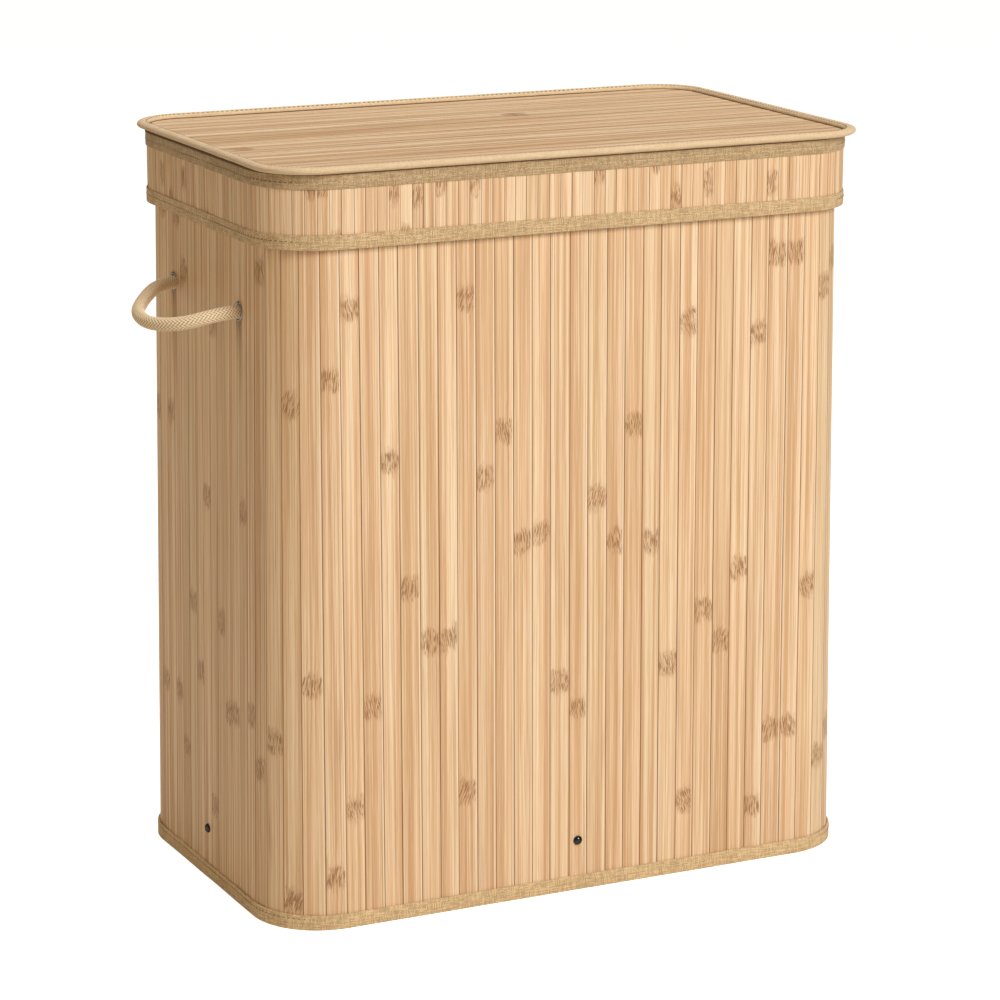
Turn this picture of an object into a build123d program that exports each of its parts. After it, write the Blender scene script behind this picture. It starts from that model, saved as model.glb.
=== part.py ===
from build123d import *
import os
from math import atan, cos, degrees, pi, radians, sin, tan

os.makedirs("parts", exist_ok=True)

# A lidded laundry hamper: bamboo slats on a fabric backing, bent into a rounded box
# that flares a little towards the floor. Origin: middle of the footprint, on the
# floor. +Z up, front at -Y, rope handles at -X and +X. Millimetres.

# Hamper body
body_width = 520.0  # over the slats, at flare_height
body_depth = 309.0
corner_radius = 50.0
flare = 7.2  # each wall stands this much further out at the floor
flare_height = 600.0
slat_thickness = 2.0
backing_thickness = 1.0
wall_bottom = 1.0
wall_top = 613.2
slat_gap = 0.3
front_slat_count = 25
side_slat_count = 13
corner_slat_count = 5

# Edges of the body
hoop_radius = 1.5
binding_skin = 1.0
top_binding_height = 18.0
base_binding_height = 12.4
base_binding_proud = 2.0
seam_tape_width = 30.0
seam_tape_thickness = 0.8
seam_tape_x = 105.0

# Base board and its four screwed brackets
board_inset = 7.0
board_bottom = 5.0
board_thickness = 4.0
cover_thickness = 0.8
bracket_inset = 4.2
bracket_thickness = 1.8
bracket_width = 24.0
bracket_height = 55.0
bracket_foot = 30.0
screw_height = 43.0
screw_radius = 1.7
screw_clearance = 0.1
screw_length = 11.0
screw_head_radius = 4.0
screw_head_height = 3.0
nut_radius = 4.0
nut_thickness = 2.6

# Rope handles, their eyelets and knots
eyelet_height = 498.0
eyelet_y = 72.0
eyelet_bore = 5.7
eyelet_barrel = 6.7
eyelet_flange_radius = 8.0
eyelet_flange = 1.0
eyelet_roll = 0.3  # how far the flange's edges curl, across and in height
eyelet_lip = 0.2
rope_radius = 5.5
knot_radius = 13.0
knot_depth = 17.0
swing_clearance = 0.3
bend_share = 0.45  # of the shorter run beside it that each bend of the rope takes up
rope_route = [
    (-262.2, -72.0, 498.0),
    (-285.0, -79.0, 498.0),
    (-310.0, -72.0, 491.5),
    (-327.0, -46.0, 488.5),
    (-326.0, -13.0, 491.0),
    (-309.0, 18.0, 495.0),
    (-286.0, 50.0, 499.0),
    (-262.2, 71.0, 498.0),
]

# Lid
skirt_out = 6.6  # skirt slats' outer face beyond the body's at flare_height
skirt_bottom = 558.3
lower_band_top = 570.1
upper_band_bottom = 605.9
band_skin = 1.0
skirt_top = 618.4
skirt_front_count = 42
skirt_side_count = 21
skirt_corner_count = 9
lining_thickness = 0.4
lid_backing_thickness = 0.8
lid_slat_thickness = 1.8
rim_half_width = 268.0
rim_half_depth = 167.0
rim_radius = 45.0
rim_top = 624.2
piping_width = 8.5
piping_round = 2.0
lid_hoop_radius = 1.7
lid_slat_count = 18
lid_slat_margin = 0.6

# Removable liner
liner_skin = 1.2
bag_half_width = 236.0
bag_half_depth = 144.0
bag_radius = 40.0
bag_bottom = 10.0
bag_shoulder = 515.0
cuff_inset = 6.0
cuff_bottom = 537.0
cuff_top = 604.0
hem_height = 11.0
hem_skin = 0.8
tab_width = 50.0
tab_bottom = 568.0
tab_height = 22.0
tab_spacing = 260.0
wall_tab_thickness = 1.7
liner_tab_thickness = 0.9
webbing_width = 25.0
webbing_thickness = 2.0
webbing_span = 130.0
webbing_drop = 55.0

# Worked out from the dimensions above
flare_angle = degrees(atan(flare / flare_height))
wall_thickness = slat_thickness + backing_thickness
body_top = wall_top + 2 * hoop_radius + binding_skin
flat_x = body_width - 2 * corner_radius
flat_y = body_depth - 2 * corner_radius
skirt_half_x = body_width / 2 + skirt_out
skirt_half_y = body_depth / 2 + skirt_out
skirt_radius = corner_radius + skirt_out
lid_backing_bottom = skirt_top - lid_backing_thickness
lid_slat_top = skirt_top + lid_slat_thickness
outward = {"front": (0, -1), "back": (0, 1), "left": (-1, 0), "right": (1, 0)}


def half_size(height):
    """Half width, half depth and corner radius over the body's slats at a height."""
    spread = flare * (1 - height / flare_height)
    return body_width / 2 + spread, body_depth / 2 + spread, corner_radius + spread


def upright_block(half_x, half_y, radius, bottom, top, mode=Mode.ADD):
    """Rounded block with upright sides."""
    with BuildSketch(Plane.XY.offset(bottom)) as outline:
        RectangleRounded(2 * half_x, 2 * half_y, radius)
    extrude(outline.sketch, amount=top - bottom, mode=mode)


def skirt_block(inset, bottom, top, mode=Mode.ADD):
    """Rounded block, inset from the skirt slats' outer face."""
    size = (skirt_half_x - inset, skirt_half_y - inset, skirt_radius - inset)
    upright_block(*size, bottom, top, mode)


def flared_block(inset, bottom, top, mode=Mode.ADD):
    """Rounded block that follows the flared wall, inset from the slats' outer face."""
    half_x, half_y, radius = half_size(bottom)
    with BuildSketch(Plane.XY.offset(bottom)) as outline:
        RectangleRounded(2 * (half_x - inset), 2 * (half_y - inset), radius - inset)
    extrude(outline.sketch, amount=top - bottom, taper=flare_angle, mode=mode)


def flared_ring(outer_inset, inner_inset, bottom, top):
    """Wall layer between two insets."""
    flared_block(outer_inset, bottom, top)
    flared_block(inner_inset, bottom, top, Mode.SUBTRACT)


def skirt_ring(outer_inset, inner_inset, bottom, top):
    """Layer of the lid's skirt between two insets."""
    skirt_block(outer_inset, bottom, top)
    skirt_block(inner_inset, bottom, top, Mode.SUBTRACT)


def spread(length, count):
    """Both ends and the even divisions of a centred length."""
    return [length * (i / count - 0.5) for i in range(count + 1)]


def cut_slat_joints(counts, bottom, top):
    """Cuts a rounded ring into slats, with straight cuts on the flats and radial ones
    round the corners, which keeps the corner slats fanning out as the ring flares."""
    front_count, side_count, corner_count = counts
    tall = top - bottom + 2
    middle = (top + bottom) / 2
    across = 2 * body_width
    with Locations(*[(x, 0, middle) for x in spread(flat_x, front_count)]):
        Box(slat_gap, across, tall, mode=Mode.SUBTRACT)
    with Locations(*[(0, y, middle) for y in spread(flat_y, side_count)]):
        Box(across, slat_gap, tall, mode=Mode.SUBTRACT)
    places = []
    for turn, (sx, sy) in enumerate([(1, 1), (-1, 1), (-1, -1), (1, -1)]):
        for i in range(1, corner_count):
            angle = 90 * (turn + i / corner_count)
            at = (sx * flat_x / 2, sy * flat_y / 2, middle)
            places.append(Location(at, (0, 0, angle)))
    with Locations(*places):
        ends = (Align.MIN, Align.CENTER, Align.CENTER)
        Box(2 * skirt_radius, slat_gap, tall, align=ends, mode=Mode.SUBTRACT)


def slats_on(ring, side):
    """The slats of a cut ring that stand on one flat side, or at its corners."""

    def side_of(slat):
        at = slat.center()
        if abs(at.X) < flat_x / 2:
            return "front" if at.Y < 0 else "back"
        if abs(at.Y) < flat_y / 2:
            return "left" if at.X < 0 else "right"
        return "corner"

    return [slat for slat in ring.solids() if side_of(slat) == side]


def wall_plane(side, along, height):
    """Plane on the slats' outer face, facing squarely out of the leaning wall."""
    half_x, half_y, _ = half_size(height)
    ux, uy = outward[side]
    lean = radians(flare_angle)
    at = (ux * half_x + abs(uy) * along, uy * half_y + abs(ux) * along, height)
    facing = (ux * cos(lean), uy * cos(lean), sin(lean))
    return Plane(origin=at, x_dir=(-uy, ux, 0), z_dir=facing)


def closed_wire_path(half_x, half_y, radius, height):
    """Centreline of a hoop: a rounded rectangle at one height."""
    corners = [(-half_x, -half_y), (half_x, -half_y), (half_x, half_y), (-half_x, half_y)]
    points = [(x, y, height) for x, y in corners]
    FilletPolyline(*points, radius=radius, close=True)


def turned(points, name):
    """Turns a closed outline of (radius, height) points about the Z axis."""
    with BuildPart() as pattern:
        with BuildSketch(Plane.XZ) as outline:
            with BuildLine():
                Polyline(*points, close=True)
            make_face()
        revolve(outline.sketch, axis=Axis.Z)
    pattern.part.label = name
    return pattern.part


def finish(builder, name):
    """Labels a piece and writes it to its own file."""
    builder.part.label = name
    export_step(builder.part, f"parts/{name}.step")


screw_planes = [wall_plane(side, 0, screw_height) for side in outward]
eyelet_planes = {
    side: [wall_plane(side, y, eyelet_height) for y in (-eyelet_y, eyelet_y)]
    for side in ("left", "right")
}


def drill_wall():
    """Drills the eyelets' and the screws' holes through the wall that is being built."""
    eyelet_holes = eyelet_planes["left"] + eyelet_planes["right"]
    for planes, radius in ((eyelet_holes, eyelet_barrel), (screw_planes, screw_radius)):
        with BuildSketch(*planes) as holes:
            Circle(radius)
        extrude(holes.sketch, amount=2 * wall_thickness, both=True, mode=Mode.SUBTRACT)


# ---------------------------------------------------------------- body wall
with BuildPart() as wall_core:
    flared_ring(0, wall_thickness, wall_bottom, body_top - binding_skin)

with BuildPart() as wall_backing:
    flared_ring(slat_thickness, wall_thickness, wall_bottom, wall_top)
    drill_wall()
finish(wall_backing, "wall_backing")

with BuildPart() as wall_slats:
    flared_ring(0, slat_thickness, wall_bottom, wall_top)
    cut_slat_joints((front_slat_count, side_slat_count, corner_slat_count), wall_bottom, wall_top)
    drill_wall()

for side in ("front", "back", "left", "right", "corner"):
    with BuildPart() as slat_group:
        add(slats_on(wall_slats.part, side))
    finish(slat_group, f"{side}_slats")

with BuildPart() as back_seam_tape:
    tape_bottom = base_binding_height
    tape_top = body_top - top_binding_height
    flared_ring(-seam_tape_thickness, 0, tape_bottom, tape_top)
    with Locations((seam_tape_x, body_depth / 2, (tape_bottom + tape_top) / 2)):
        Box(seam_tape_width, corner_radius, tape_top, mode=Mode.INTERSECT)
finish(back_seam_tape, "back_seam_tape")

# ---------------------------------------------------------------- body edges
hoop_height = wall_top + hoop_radius
with BuildPart() as top_hoop:
    with BuildLine() as hoop_line:
        half_x, half_y, radius = half_size(hoop_height)
        middle = wall_thickness / 2
        closed_wire_path(half_x - middle, half_y - middle, radius - middle, hoop_height)
    with BuildSketch(Plane(origin=hoop_line.line @ 0, z_dir=hoop_line.line % 0)):
        Circle(hoop_radius)
    sweep()
finish(top_hoop, "top_hoop")

with BuildPart() as top_binding:
    flared_ring(-binding_skin, wall_thickness + binding_skin, body_top - top_binding_height, body_top)
    add(wall_core.part, mode=Mode.SUBTRACT)
finish(top_binding, "top_binding")

with BuildPart() as base_binding:
    flared_ring(-base_binding_proud, wall_thickness + binding_skin, 0, base_binding_height)
    add(wall_core.part, mode=Mode.SUBTRACT)
finish(base_binding, "base_binding")

# ---------------------------------------------------------------- base board
floor_half_x, floor_half_y, floor_radius = half_size(0)
board_size = (floor_half_x - board_inset, floor_half_y - board_inset, floor_radius - board_inset)
board_top = board_bottom + board_thickness
with BuildPart() as base_board:
    upright_block(*board_size, board_bottom, board_top)
finish(base_board, "base_board")

with BuildPart() as base_cover:
    cover_size = [length + cover_thickness for length in board_size]
    upright_block(*cover_size, board_bottom, board_top + cover_thickness)
    upright_block(*board_size, board_bottom, board_top, Mode.SUBTRACT)
finish(base_cover, "base_cover")

# In a bracket's own place, y = 0 is the upright's outer face and +Y points inwards.
bracket_places = [
    Location((0, -(floor_half_y - bracket_inset), 0), (0, 0, 0)),
    Location((floor_half_x - bracket_inset, 0, 0), (0, 0, 90)),
    Location((0, floor_half_y - bracket_inset, 0), (0, 0, 180)),
    Location((-(floor_half_x - bracket_inset), 0, 0), (0, 0, 270)),
]
with BuildPart() as bracket_pattern:
    with BuildSketch(Plane.YZ):
        with BuildLine():
            foot_bottom = board_bottom - bracket_thickness
            Polyline(
                (0, foot_bottom),
                (bracket_foot, foot_bottom),
                (bracket_foot, board_bottom),
                (bracket_thickness, board_bottom),
                (bracket_thickness, bracket_height),
                (0, bracket_height),
                close=True,
            )
        make_face()
    extrude(amount=bracket_width / 2, both=True)
    with BuildSketch(Plane((0, 0, screw_height), z_dir=(0, 1, 0))):
        Circle(screw_radius + screw_clearance)
    extrude(amount=2 * bracket_thickness, both=True, mode=Mode.SUBTRACT)

with BuildPart() as base_brackets:
    with Locations(*bracket_places):
        add(bracket_pattern.part)
finish(base_brackets, "base_brackets")

screw_dome = [
    (
        screw_head_radius * cos(radians(angle)),
        screw_head_height * sin(radians(angle)),
    )
    for angle in range(0, 90, 10)
]
screw_pattern = turned(
    [(0, -screw_length), (screw_radius, -screw_length), (screw_radius, 0)]
    + screw_dome
    + [(0, screw_head_height)],
    "base_screw",
)
with BuildPart() as base_screws:
    with Locations(*screw_planes):
        add(screw_pattern)
finish(base_screws, "base_screws")

# In a bracket's own place the nut sits against the upright's inner face.
with BuildPart() as nut_pattern:
    with BuildSketch(Plane((0, bracket_thickness, screw_height), z_dir=(0, 1, 0))):
        RegularPolygon(nut_radius, 6)
        Circle(screw_radius + screw_clearance, mode=Mode.SUBTRACT)
    extrude(amount=nut_thickness)
with BuildPart() as base_nuts:
    with Locations(*bracket_places):
        add(nut_pattern.part)
finish(base_nuts, "base_nuts")

# ---------------------------------------------------------------- eyelets and ropes
eyelet_pattern = turned(
    [
        (eyelet_bore, -wall_thickness - eyelet_flange),
        (eyelet_barrel, -wall_thickness - eyelet_flange),
        (eyelet_barrel, 0),
        (eyelet_flange_radius, 0),
        (eyelet_flange_radius - eyelet_roll, eyelet_flange - eyelet_lip),
        (eyelet_barrel, eyelet_flange),
        (eyelet_bore + eyelet_roll, eyelet_flange - eyelet_lip),
        (eyelet_bore, eyelet_lip),
    ],
    "eyelet",
)
washer_pattern = turned(
    [
        (eyelet_barrel, -wall_thickness),
        (eyelet_flange_radius, -wall_thickness),
        (eyelet_flange_radius, -wall_thickness - eyelet_flange),
        (eyelet_barrel, -wall_thickness - eyelet_flange),
    ],
    "eyelet_washer",
)
knot_start = -wall_thickness - eyelet_flange
knot_round = knot_depth / 2
knot_outline = [
    (
        knot_radius - knot_round + knot_round * cos(radians(angle)),
        knot_start - knot_round + knot_round * sin(radians(angle)),
    )
    for angle in range(-90, 91, 15)
]
knot_pattern = turned(
    [(0, knot_start - knot_depth)]
    + knot_outline
    + [(rope_radius, knot_start), (rope_radius, eyelet_flange), (0, eyelet_flange)],
    "rope_knot",
)

# The loop swings about a line along Y, just outside the eyelets, where it ends in balls.
swing_x = half_size(eyelet_height)[0] + eyelet_flange + rope_radius + swing_clearance
runs = [Vector(b) - Vector(a) for a, b in zip(rope_route, rope_route[1:])]
rope_radii = []
for before, after in zip(runs, runs[1:]):
    half_turn = radians(before.get_angle(after)) / 2
    rope_radii.append(bend_share * min(before.length, after.length) / tan(half_turn))
print("rope bend radii", [round(radius, 1) for radius in rope_radii])

# The right loop is the left one turned half round the hamper.
for side, facing in (("left", 1), ("right", -1)):
    with BuildPart() as eyelets:
        with Locations(*eyelet_planes[side]):
            add(eyelet_pattern)
    finish(eyelets, f"{side}_eyelets")

    with BuildPart() as washers:
        with Locations(*eyelet_planes[side]):
            add(washer_pattern)
    finish(washers, f"{side}_eyelet_washers")

    with BuildPart() as knots:
        with Locations(*eyelet_planes[side]):
            add(knot_pattern)
    finish(knots, f"{side}_rope_knots")

    route = [Vector(facing * x, facing * y, z) for x, y, z in rope_route]
    for end, beside in ((0, 1), (-1, -2)):
        along = route[beside] - route[end]
        route[end] += along * ((swing_x - abs(route[end].X)) / abs(along.X))
    with BuildPart() as rope:
        with BuildLine() as rope_line:
            FilletPolyline(*route, radius=rope_radii)
        with BuildSketch(Plane(origin=rope_line.line @ 0, z_dir=rope_line.line % 0)):
            Circle(rope_radius)
        sweep()
        rope_length = sum(edge.length for edge in rope_line.edges())
        swept = pi * rope_radius**2 * rope_length
        print(side, "rope", round(rope_length, 1), "long, solid to swept volume",
              round(rope.part.volume / swept, 4))
        with Locations(route[0], route[-1]):
            Sphere(rope_radius)
    finish(rope, f"{side}_handle_rope")

# ---------------------------------------------------------------- lid skirt
with BuildPart() as skirt_core:
    skirt_ring(0, wall_thickness, skirt_bottom + band_skin, skirt_top)

with BuildPart() as skirt_backing:
    skirt_ring(slat_thickness, wall_thickness, skirt_bottom + band_skin, skirt_top)
finish(skirt_backing, "skirt_backing")

with BuildPart() as skirt_slats:
    skirt_ring(0, slat_thickness, skirt_bottom + band_skin, skirt_top)
    skirt_counts = (skirt_front_count, skirt_side_count, skirt_corner_count)
    cut_slat_joints(skirt_counts, skirt_bottom + band_skin, skirt_top)

for side in ("front", "back", "left", "right", "corner"):
    with BuildPart() as slat_group:
        add(slats_on(skirt_slats.part, side))
    finish(slat_group, f"skirt_{side}_slats")

with BuildPart() as skirt_lower_band:
    skirt_ring(-band_skin, wall_thickness + band_skin, skirt_bottom, lower_band_top)
    add(skirt_core.part, mode=Mode.SUBTRACT)
finish(skirt_lower_band, "skirt_lower_band")

with BuildPart() as skirt_upper_band:
    skirt_ring(-band_skin, 0, upper_band_bottom, skirt_top)
finish(skirt_upper_band, "skirt_upper_band")

# ---------------------------------------------------------------- lid top
piped_area = (
    rim_half_width - piping_width,
    rim_half_depth - piping_width,
    rim_radius - piping_width,
)
with BuildPart() as lid_lining:
    skirt_block(wall_thickness, lid_backing_bottom - lining_thickness, lid_backing_bottom)
finish(lid_lining, "lid_lining")

with BuildPart() as lid_backing:
    skirt_block(wall_thickness, lid_backing_bottom, skirt_top)
finish(lid_backing, "lid_backing")

with BuildPart() as lid_slats:
    slat_area = [length - lid_slat_margin for length in piped_area]
    upright_block(*slat_area, skirt_top, lid_slat_top)
    joints = spread(2 * slat_area[1], lid_slat_count)[1:-1]
    with Locations(*[(0, y, lid_slat_top) for y in joints]):
        Box(body_width, slat_gap, 3 * lid_slat_thickness, mode=Mode.SUBTRACT)
finish(lid_slats, "lid_slats")

with BuildPart() as lid_hoop:
    with BuildLine() as rim_line:
        middle = piping_width / 2
        wire_height = (skirt_top + rim_top) / 2
        closed_wire_path(
            rim_half_width - middle, rim_half_depth - middle, rim_radius - middle, wire_height
        )
    with BuildSketch(Plane(origin=rim_line.line @ 0, z_dir=rim_line.line % 0)):
        Circle(lid_hoop_radius)
    sweep()
finish(lid_hoop, "lid_hoop")

with BuildPart() as lid_piping:
    upright_block(rim_half_width, rim_half_depth, rim_radius, skirt_top, rim_top)
    upright_block(*piped_area, skirt_top, rim_top, Mode.SUBTRACT)
    rim_edges = lid_piping.edges().group_by(Axis.Z)
    fillet(rim_edges[0] + rim_edges[-1], radius=piping_round)
    add(lid_hoop.part, mode=Mode.SUBTRACT)
finish(lid_piping, "lid_piping")

# ---------------------------------------------------------------- liner
cuff_size = (
    body_width / 2 - cuff_inset,
    body_depth / 2 - cuff_inset,
    corner_radius - cuff_inset,
)
bag_size = (bag_half_width, bag_half_depth, bag_radius)


def liner_block(inset, bottom, top, mode=Mode.ADD):
    """The liner's filled shape: an upright bag, a shoulder and a wider cuff."""
    low = [length - inset for length in bag_size]
    high = [length - inset for length in cuff_size]
    upright_block(*low, bottom, bag_shoulder, mode)
    with BuildSketch(Plane.XY.offset(bag_shoulder)) as shoulder:
        RectangleRounded(2 * low[0], 2 * low[1], low[2])
    with BuildSketch(Plane.XY.offset(cuff_bottom)) as cuff:
        RectangleRounded(2 * high[0], 2 * high[1], high[2])
    loft([shoulder.sketch, cuff.sketch], mode=mode)
    upright_block(*high, cuff_bottom, top, mode)


with BuildPart() as liner_bag:
    liner_block(0, bag_bottom, cuff_top - hem_skin)
    liner_block(liner_skin, bag_bottom + liner_skin, cuff_top - hem_skin, Mode.SUBTRACT)
finish(liner_bag, "liner_bag")

with BuildPart() as liner_hem:
    hem_outer = [length + hem_skin for length in cuff_size]
    hem_inner = [length - liner_skin - hem_skin for length in cuff_size]
    upright_block(*hem_outer, cuff_top - hem_height, cuff_top)
    upright_block(*hem_inner, cuff_top - hem_height, cuff_top, Mode.SUBTRACT)
    add(liner_bag.part, mode=Mode.SUBTRACT)
finish(liner_hem, "liner_hem")

# Windows where the fastening tabs are: two on each long side, one on each short side.
with BuildPart() as tab_windows:
    tab_middle = tab_bottom + tab_height / 2
    with Locations((0, 0, tab_middle)):
        with GridLocations(tab_spacing, body_depth, 2, 2):
            Box(tab_width, body_depth / 4, tab_height)
        with GridLocations(body_width, 0, 2, 1):
            Box(body_depth / 4, tab_width, tab_height)

with BuildPart() as wall_tabs:
    flared_ring(
        wall_thickness, wall_thickness + wall_tab_thickness, tab_bottom, tab_bottom + tab_height
    )
    add(tab_windows.part, mode=Mode.INTERSECT)
finish(wall_tabs, "wall_tabs")

with BuildPart() as liner_tabs:
    tab_outer = [length + liner_tab_thickness for length in cuff_size]
    upright_block(*tab_outer, tab_bottom, tab_bottom + tab_height)
    upright_block(*cuff_size, tab_bottom, tab_bottom + tab_height, Mode.SUBTRACT)
    add(tab_windows.part, mode=Mode.INTERSECT)
finish(liner_tabs, "liner_tabs")

# Each carrying strap is an arch of webbing, its two ends sewn inside the cuff.
strap_x = cuff_size[0] - liner_skin - hem_skin - webbing_thickness
strap_top = cuff_top - hem_height
with BuildPart() as liner_handles:
    for plane in (Plane.YZ.offset(strap_x), Plane.YZ.offset(-strap_x - webbing_thickness)):
        with BuildSketch(plane):
            with Locations((0, strap_top - webbing_drop / 2)):
                Rectangle(webbing_span, webbing_drop)
            with Locations((0, strap_top - (webbing_drop - webbing_width) / 2)):
                hollow = (webbing_span - 2 * webbing_width, webbing_drop - webbing_width)
                Rectangle(*hollow, mode=Mode.SUBTRACT)
        extrude(amount=webbing_thickness)
finish(liner_handles, "liner_handles")
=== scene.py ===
"""Lidded bamboo laundry hamper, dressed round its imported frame. Metres, +Z up, front at -Y."""

import logging
import math
from dataclasses import dataclass
from enum import Enum

import bpy
import numpy as np
from mathutils import Matrix, Vector

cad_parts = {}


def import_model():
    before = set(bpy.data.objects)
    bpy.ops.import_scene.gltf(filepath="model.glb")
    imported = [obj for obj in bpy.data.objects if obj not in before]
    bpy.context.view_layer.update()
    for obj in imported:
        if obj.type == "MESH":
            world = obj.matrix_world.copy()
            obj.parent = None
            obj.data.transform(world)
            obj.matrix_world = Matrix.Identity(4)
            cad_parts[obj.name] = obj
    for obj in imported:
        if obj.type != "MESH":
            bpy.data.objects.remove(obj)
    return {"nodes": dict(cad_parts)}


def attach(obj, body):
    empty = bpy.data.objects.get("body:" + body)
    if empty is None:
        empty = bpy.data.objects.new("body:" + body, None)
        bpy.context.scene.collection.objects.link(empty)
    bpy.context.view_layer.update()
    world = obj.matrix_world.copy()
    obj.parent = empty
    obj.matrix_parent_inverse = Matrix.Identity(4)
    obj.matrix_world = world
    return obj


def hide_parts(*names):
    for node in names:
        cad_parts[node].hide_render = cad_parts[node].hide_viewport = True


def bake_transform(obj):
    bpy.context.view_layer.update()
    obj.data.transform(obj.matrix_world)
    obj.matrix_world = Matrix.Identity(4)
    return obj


LOG = logging.getLogger("hamper")
MM = 0.001
SEED = 9


# ------------------------------------------------------------------ mesh making


class Caps(Enum):
    """Which of a grid's first and last rows get a face."""

    BOTH = (True, True)
    LAST = (False, True)
    NONE = (False, False)


def surface(name: str, points: np.ndarray, uv: np.ndarray, close_rows: bool = False,
            close_columns: bool = True, caps: Caps = Caps.BOTH,
            values: dict[str, np.ndarray] | None = None) -> bpy.types.Object:
    """Makes one object out of equal grids of points.

    Quad (i, j) of a grid joins points (i, j), (i+1, j), (i+1, j+1) and (i, j+1), and the
    last row or column joins the first where it is closed. If the whole encloses a negative
    volume, every face is turned round.

    Args:
        name: The object's name.
        points: Array (grids, rows, columns, 3).
        uv: Array (grids, rows + 1 if closed, columns + 1 if closed, 2), in metres.
        close_rows: Whether the last row joins the first.
        close_columns: Whether the last column joins the first.
        caps: Which of the end rows get a face.
        values: Named values, one for each grid, kept on its faces.

    Returns:
        The new object, linked to the scene.
    """
    grids, rows, columns, _ = points.shape
    row = np.arange(rows if close_rows else rows - 1)
    column = np.arange(columns if close_columns else columns - 1)
    i, j = np.meshgrid(row, column, indexing="ij")
    quad_row = np.stack([i, i + 1, i + 1, i], -1).reshape(-1, 4)
    quad_column = np.stack([j, j, j + 1, j + 1], -1).reshape(-1, 4)
    quad = (quad_row % rows) * columns + quad_column % columns
    start = np.arange(grids)[:, None, None] * rows * columns
    corners = [(quad[None] + start).reshape(-1)]
    sizes = [np.full(grids * len(quad), 4)]
    loop_uv = [uv[:, quad_row, quad_column].reshape(-1, 2)]
    owner = [np.repeat(np.arange(grids), len(quad))]
    around = np.arange(columns)
    for wanted, cap_row, order in zip(caps.value, (0, rows - 1), (around, around[::-1])):
        if wanted:
            cap = (cap_row * columns + order)[None] + start[:, 0]
            corners.append(cap.reshape(-1))
            sizes.append(np.full(grids, columns))
            loop_uv.append(uv[:, cap_row, order].reshape(-1, 2))
            owner.append(np.arange(grids))
    flat = points.reshape(-1, 3)
    corners, sizes = np.concatenate(corners), np.concatenate(sizes)
    loop_uv, owner = np.concatenate(loop_uv), np.concatenate(owner)
    first = np.concatenate([[0], np.cumsum(sizes)[:-1]])
    fan_a, fan_b, fan_c = corners[first], corners[first + 1], corners[first + 2]
    centred = flat - flat.mean(0)
    volume = np.einsum("ij,ij->", np.cross(centred[fan_a], centred[fan_b]), centred[fan_c])
    if volume < 0:
        ends = np.repeat(first * 2 + sizes - 1, sizes) - np.arange(len(corners))
        corners, loop_uv = corners[ends], loop_uv[ends]
    mesh = bpy.data.meshes.new(name)
    mesh.vertices.add(len(flat))
    mesh.vertices.foreach_set("co", flat.astype(np.float32).ravel())
    mesh.loops.add(len(corners))
    mesh.loops.foreach_set("vertex_index", corners.astype(np.int32))
    mesh.polygons.add(len(sizes))
    mesh.polygons.foreach_set("loop_start", first.astype(np.int32))
    mesh.update(calc_edges=True)
    mesh.uv_layers.new(name="Cloth").data.foreach_set("uv", loop_uv.astype(np.float32).ravel())
    for key, value in (values or {}).items():
        layer = mesh.attributes.new(key, "FLOAT", "FACE")
        layer.data.foreach_set("value", value[owner].astype(np.float32))
    mesh.shade_smooth()
    mesh.validate()
    piece = bpy.data.objects.new(name, mesh)
    bpy.context.scene.collection.objects.link(piece)
    return piece


def rounded_loop(corners: list[tuple[float, float]], radius: float, steps: int = 3) -> np.ndarray:
    """Closed outline whose corners are rounded with a quadratic curve.

    Args:
        corners: The outline's corners in order.
        radius: How far from each corner the rounding begins.
        steps: Points each rounding takes, less one.

    Returns:
        Array (points, 2).
    """
    at = np.array(corners, float)
    back, ahead = np.roll(at, 1, 0) - at, np.roll(at, -1, 0) - at
    lengths = [np.linalg.norm(side, axis=1, keepdims=True) for side in (back, ahead)]
    reach = np.minimum(radius, np.minimum(*lengths) * 0.45)
    start, stop = at + back / lengths[0] * reach, at + ahead / lengths[1] * reach
    t = np.linspace(0, 1, steps + 1)[None, :, None]
    curve = (1 - t) ** 2 * start[:, None] + 2 * t * (1 - t) * at[:, None] + t**2 * stop[:, None]
    return curve.reshape(-1, 2)


def point_values(piece: bpy.types.Object, name: str, values: np.ndarray) -> None:
    """Keeps a value for each point of a piece, under a name."""
    layer = piece.data.attributes.new(name, "FLOAT", "POINT")
    layer.data.foreach_set("value", values.astype(np.float32).ravel())


def unit(vectors: np.ndarray) -> np.ndarray:
    """Vectors along the last axis, each brought to length one."""
    return vectors / np.linalg.norm(vectors, axis=-1, keepdims=True)


def run_length(points: np.ndarray) -> np.ndarray:
    """Distance from the first point of a line to each of its points."""
    steps = np.linalg.norm(np.diff(points, axis=0), axis=-1)
    return np.concatenate([[0], np.cumsum(steps)])


def block(low: float, high: float, bottom: float, top: float) -> list[tuple[float, float]]:
    """Outline of a rectangle from low to high across and from bottom to top."""
    return [(low, bottom), (high, bottom), (high, top), (low, top)]


def fold_over(outer: float, inner: float, core: tuple[float, float], edge: float,
              inside: float, end: float) -> list[tuple[float, float]]:
    """Outline of a strip folded over an edge, as a U on its side.

    Args:
        outer: Its outer face.
        inner: Its inner face.
        core: Outer and inner face of what it is folded over.
        edge: Height of the fold's outside.
        inside: Height of the fold's inside.
        end: Height that both its legs reach.

    Returns:
        Corners of (out, height).
    """
    return [(outer, edge), (outer, end), (core[0], end), (core[0], inside),
            (core[1], inside), (core[1], end), (inner, end), (inner, edge)]


def ripple(s: np.ndarray, waves: list[tuple[float, float, float]]) -> np.ndarray:
    """Sum of sine waves of (height, length, phase) along s."""
    return sum((h * np.sin(2 * math.pi * s / length + phase) for h, length, phase in waves), 0 * s)


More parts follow.
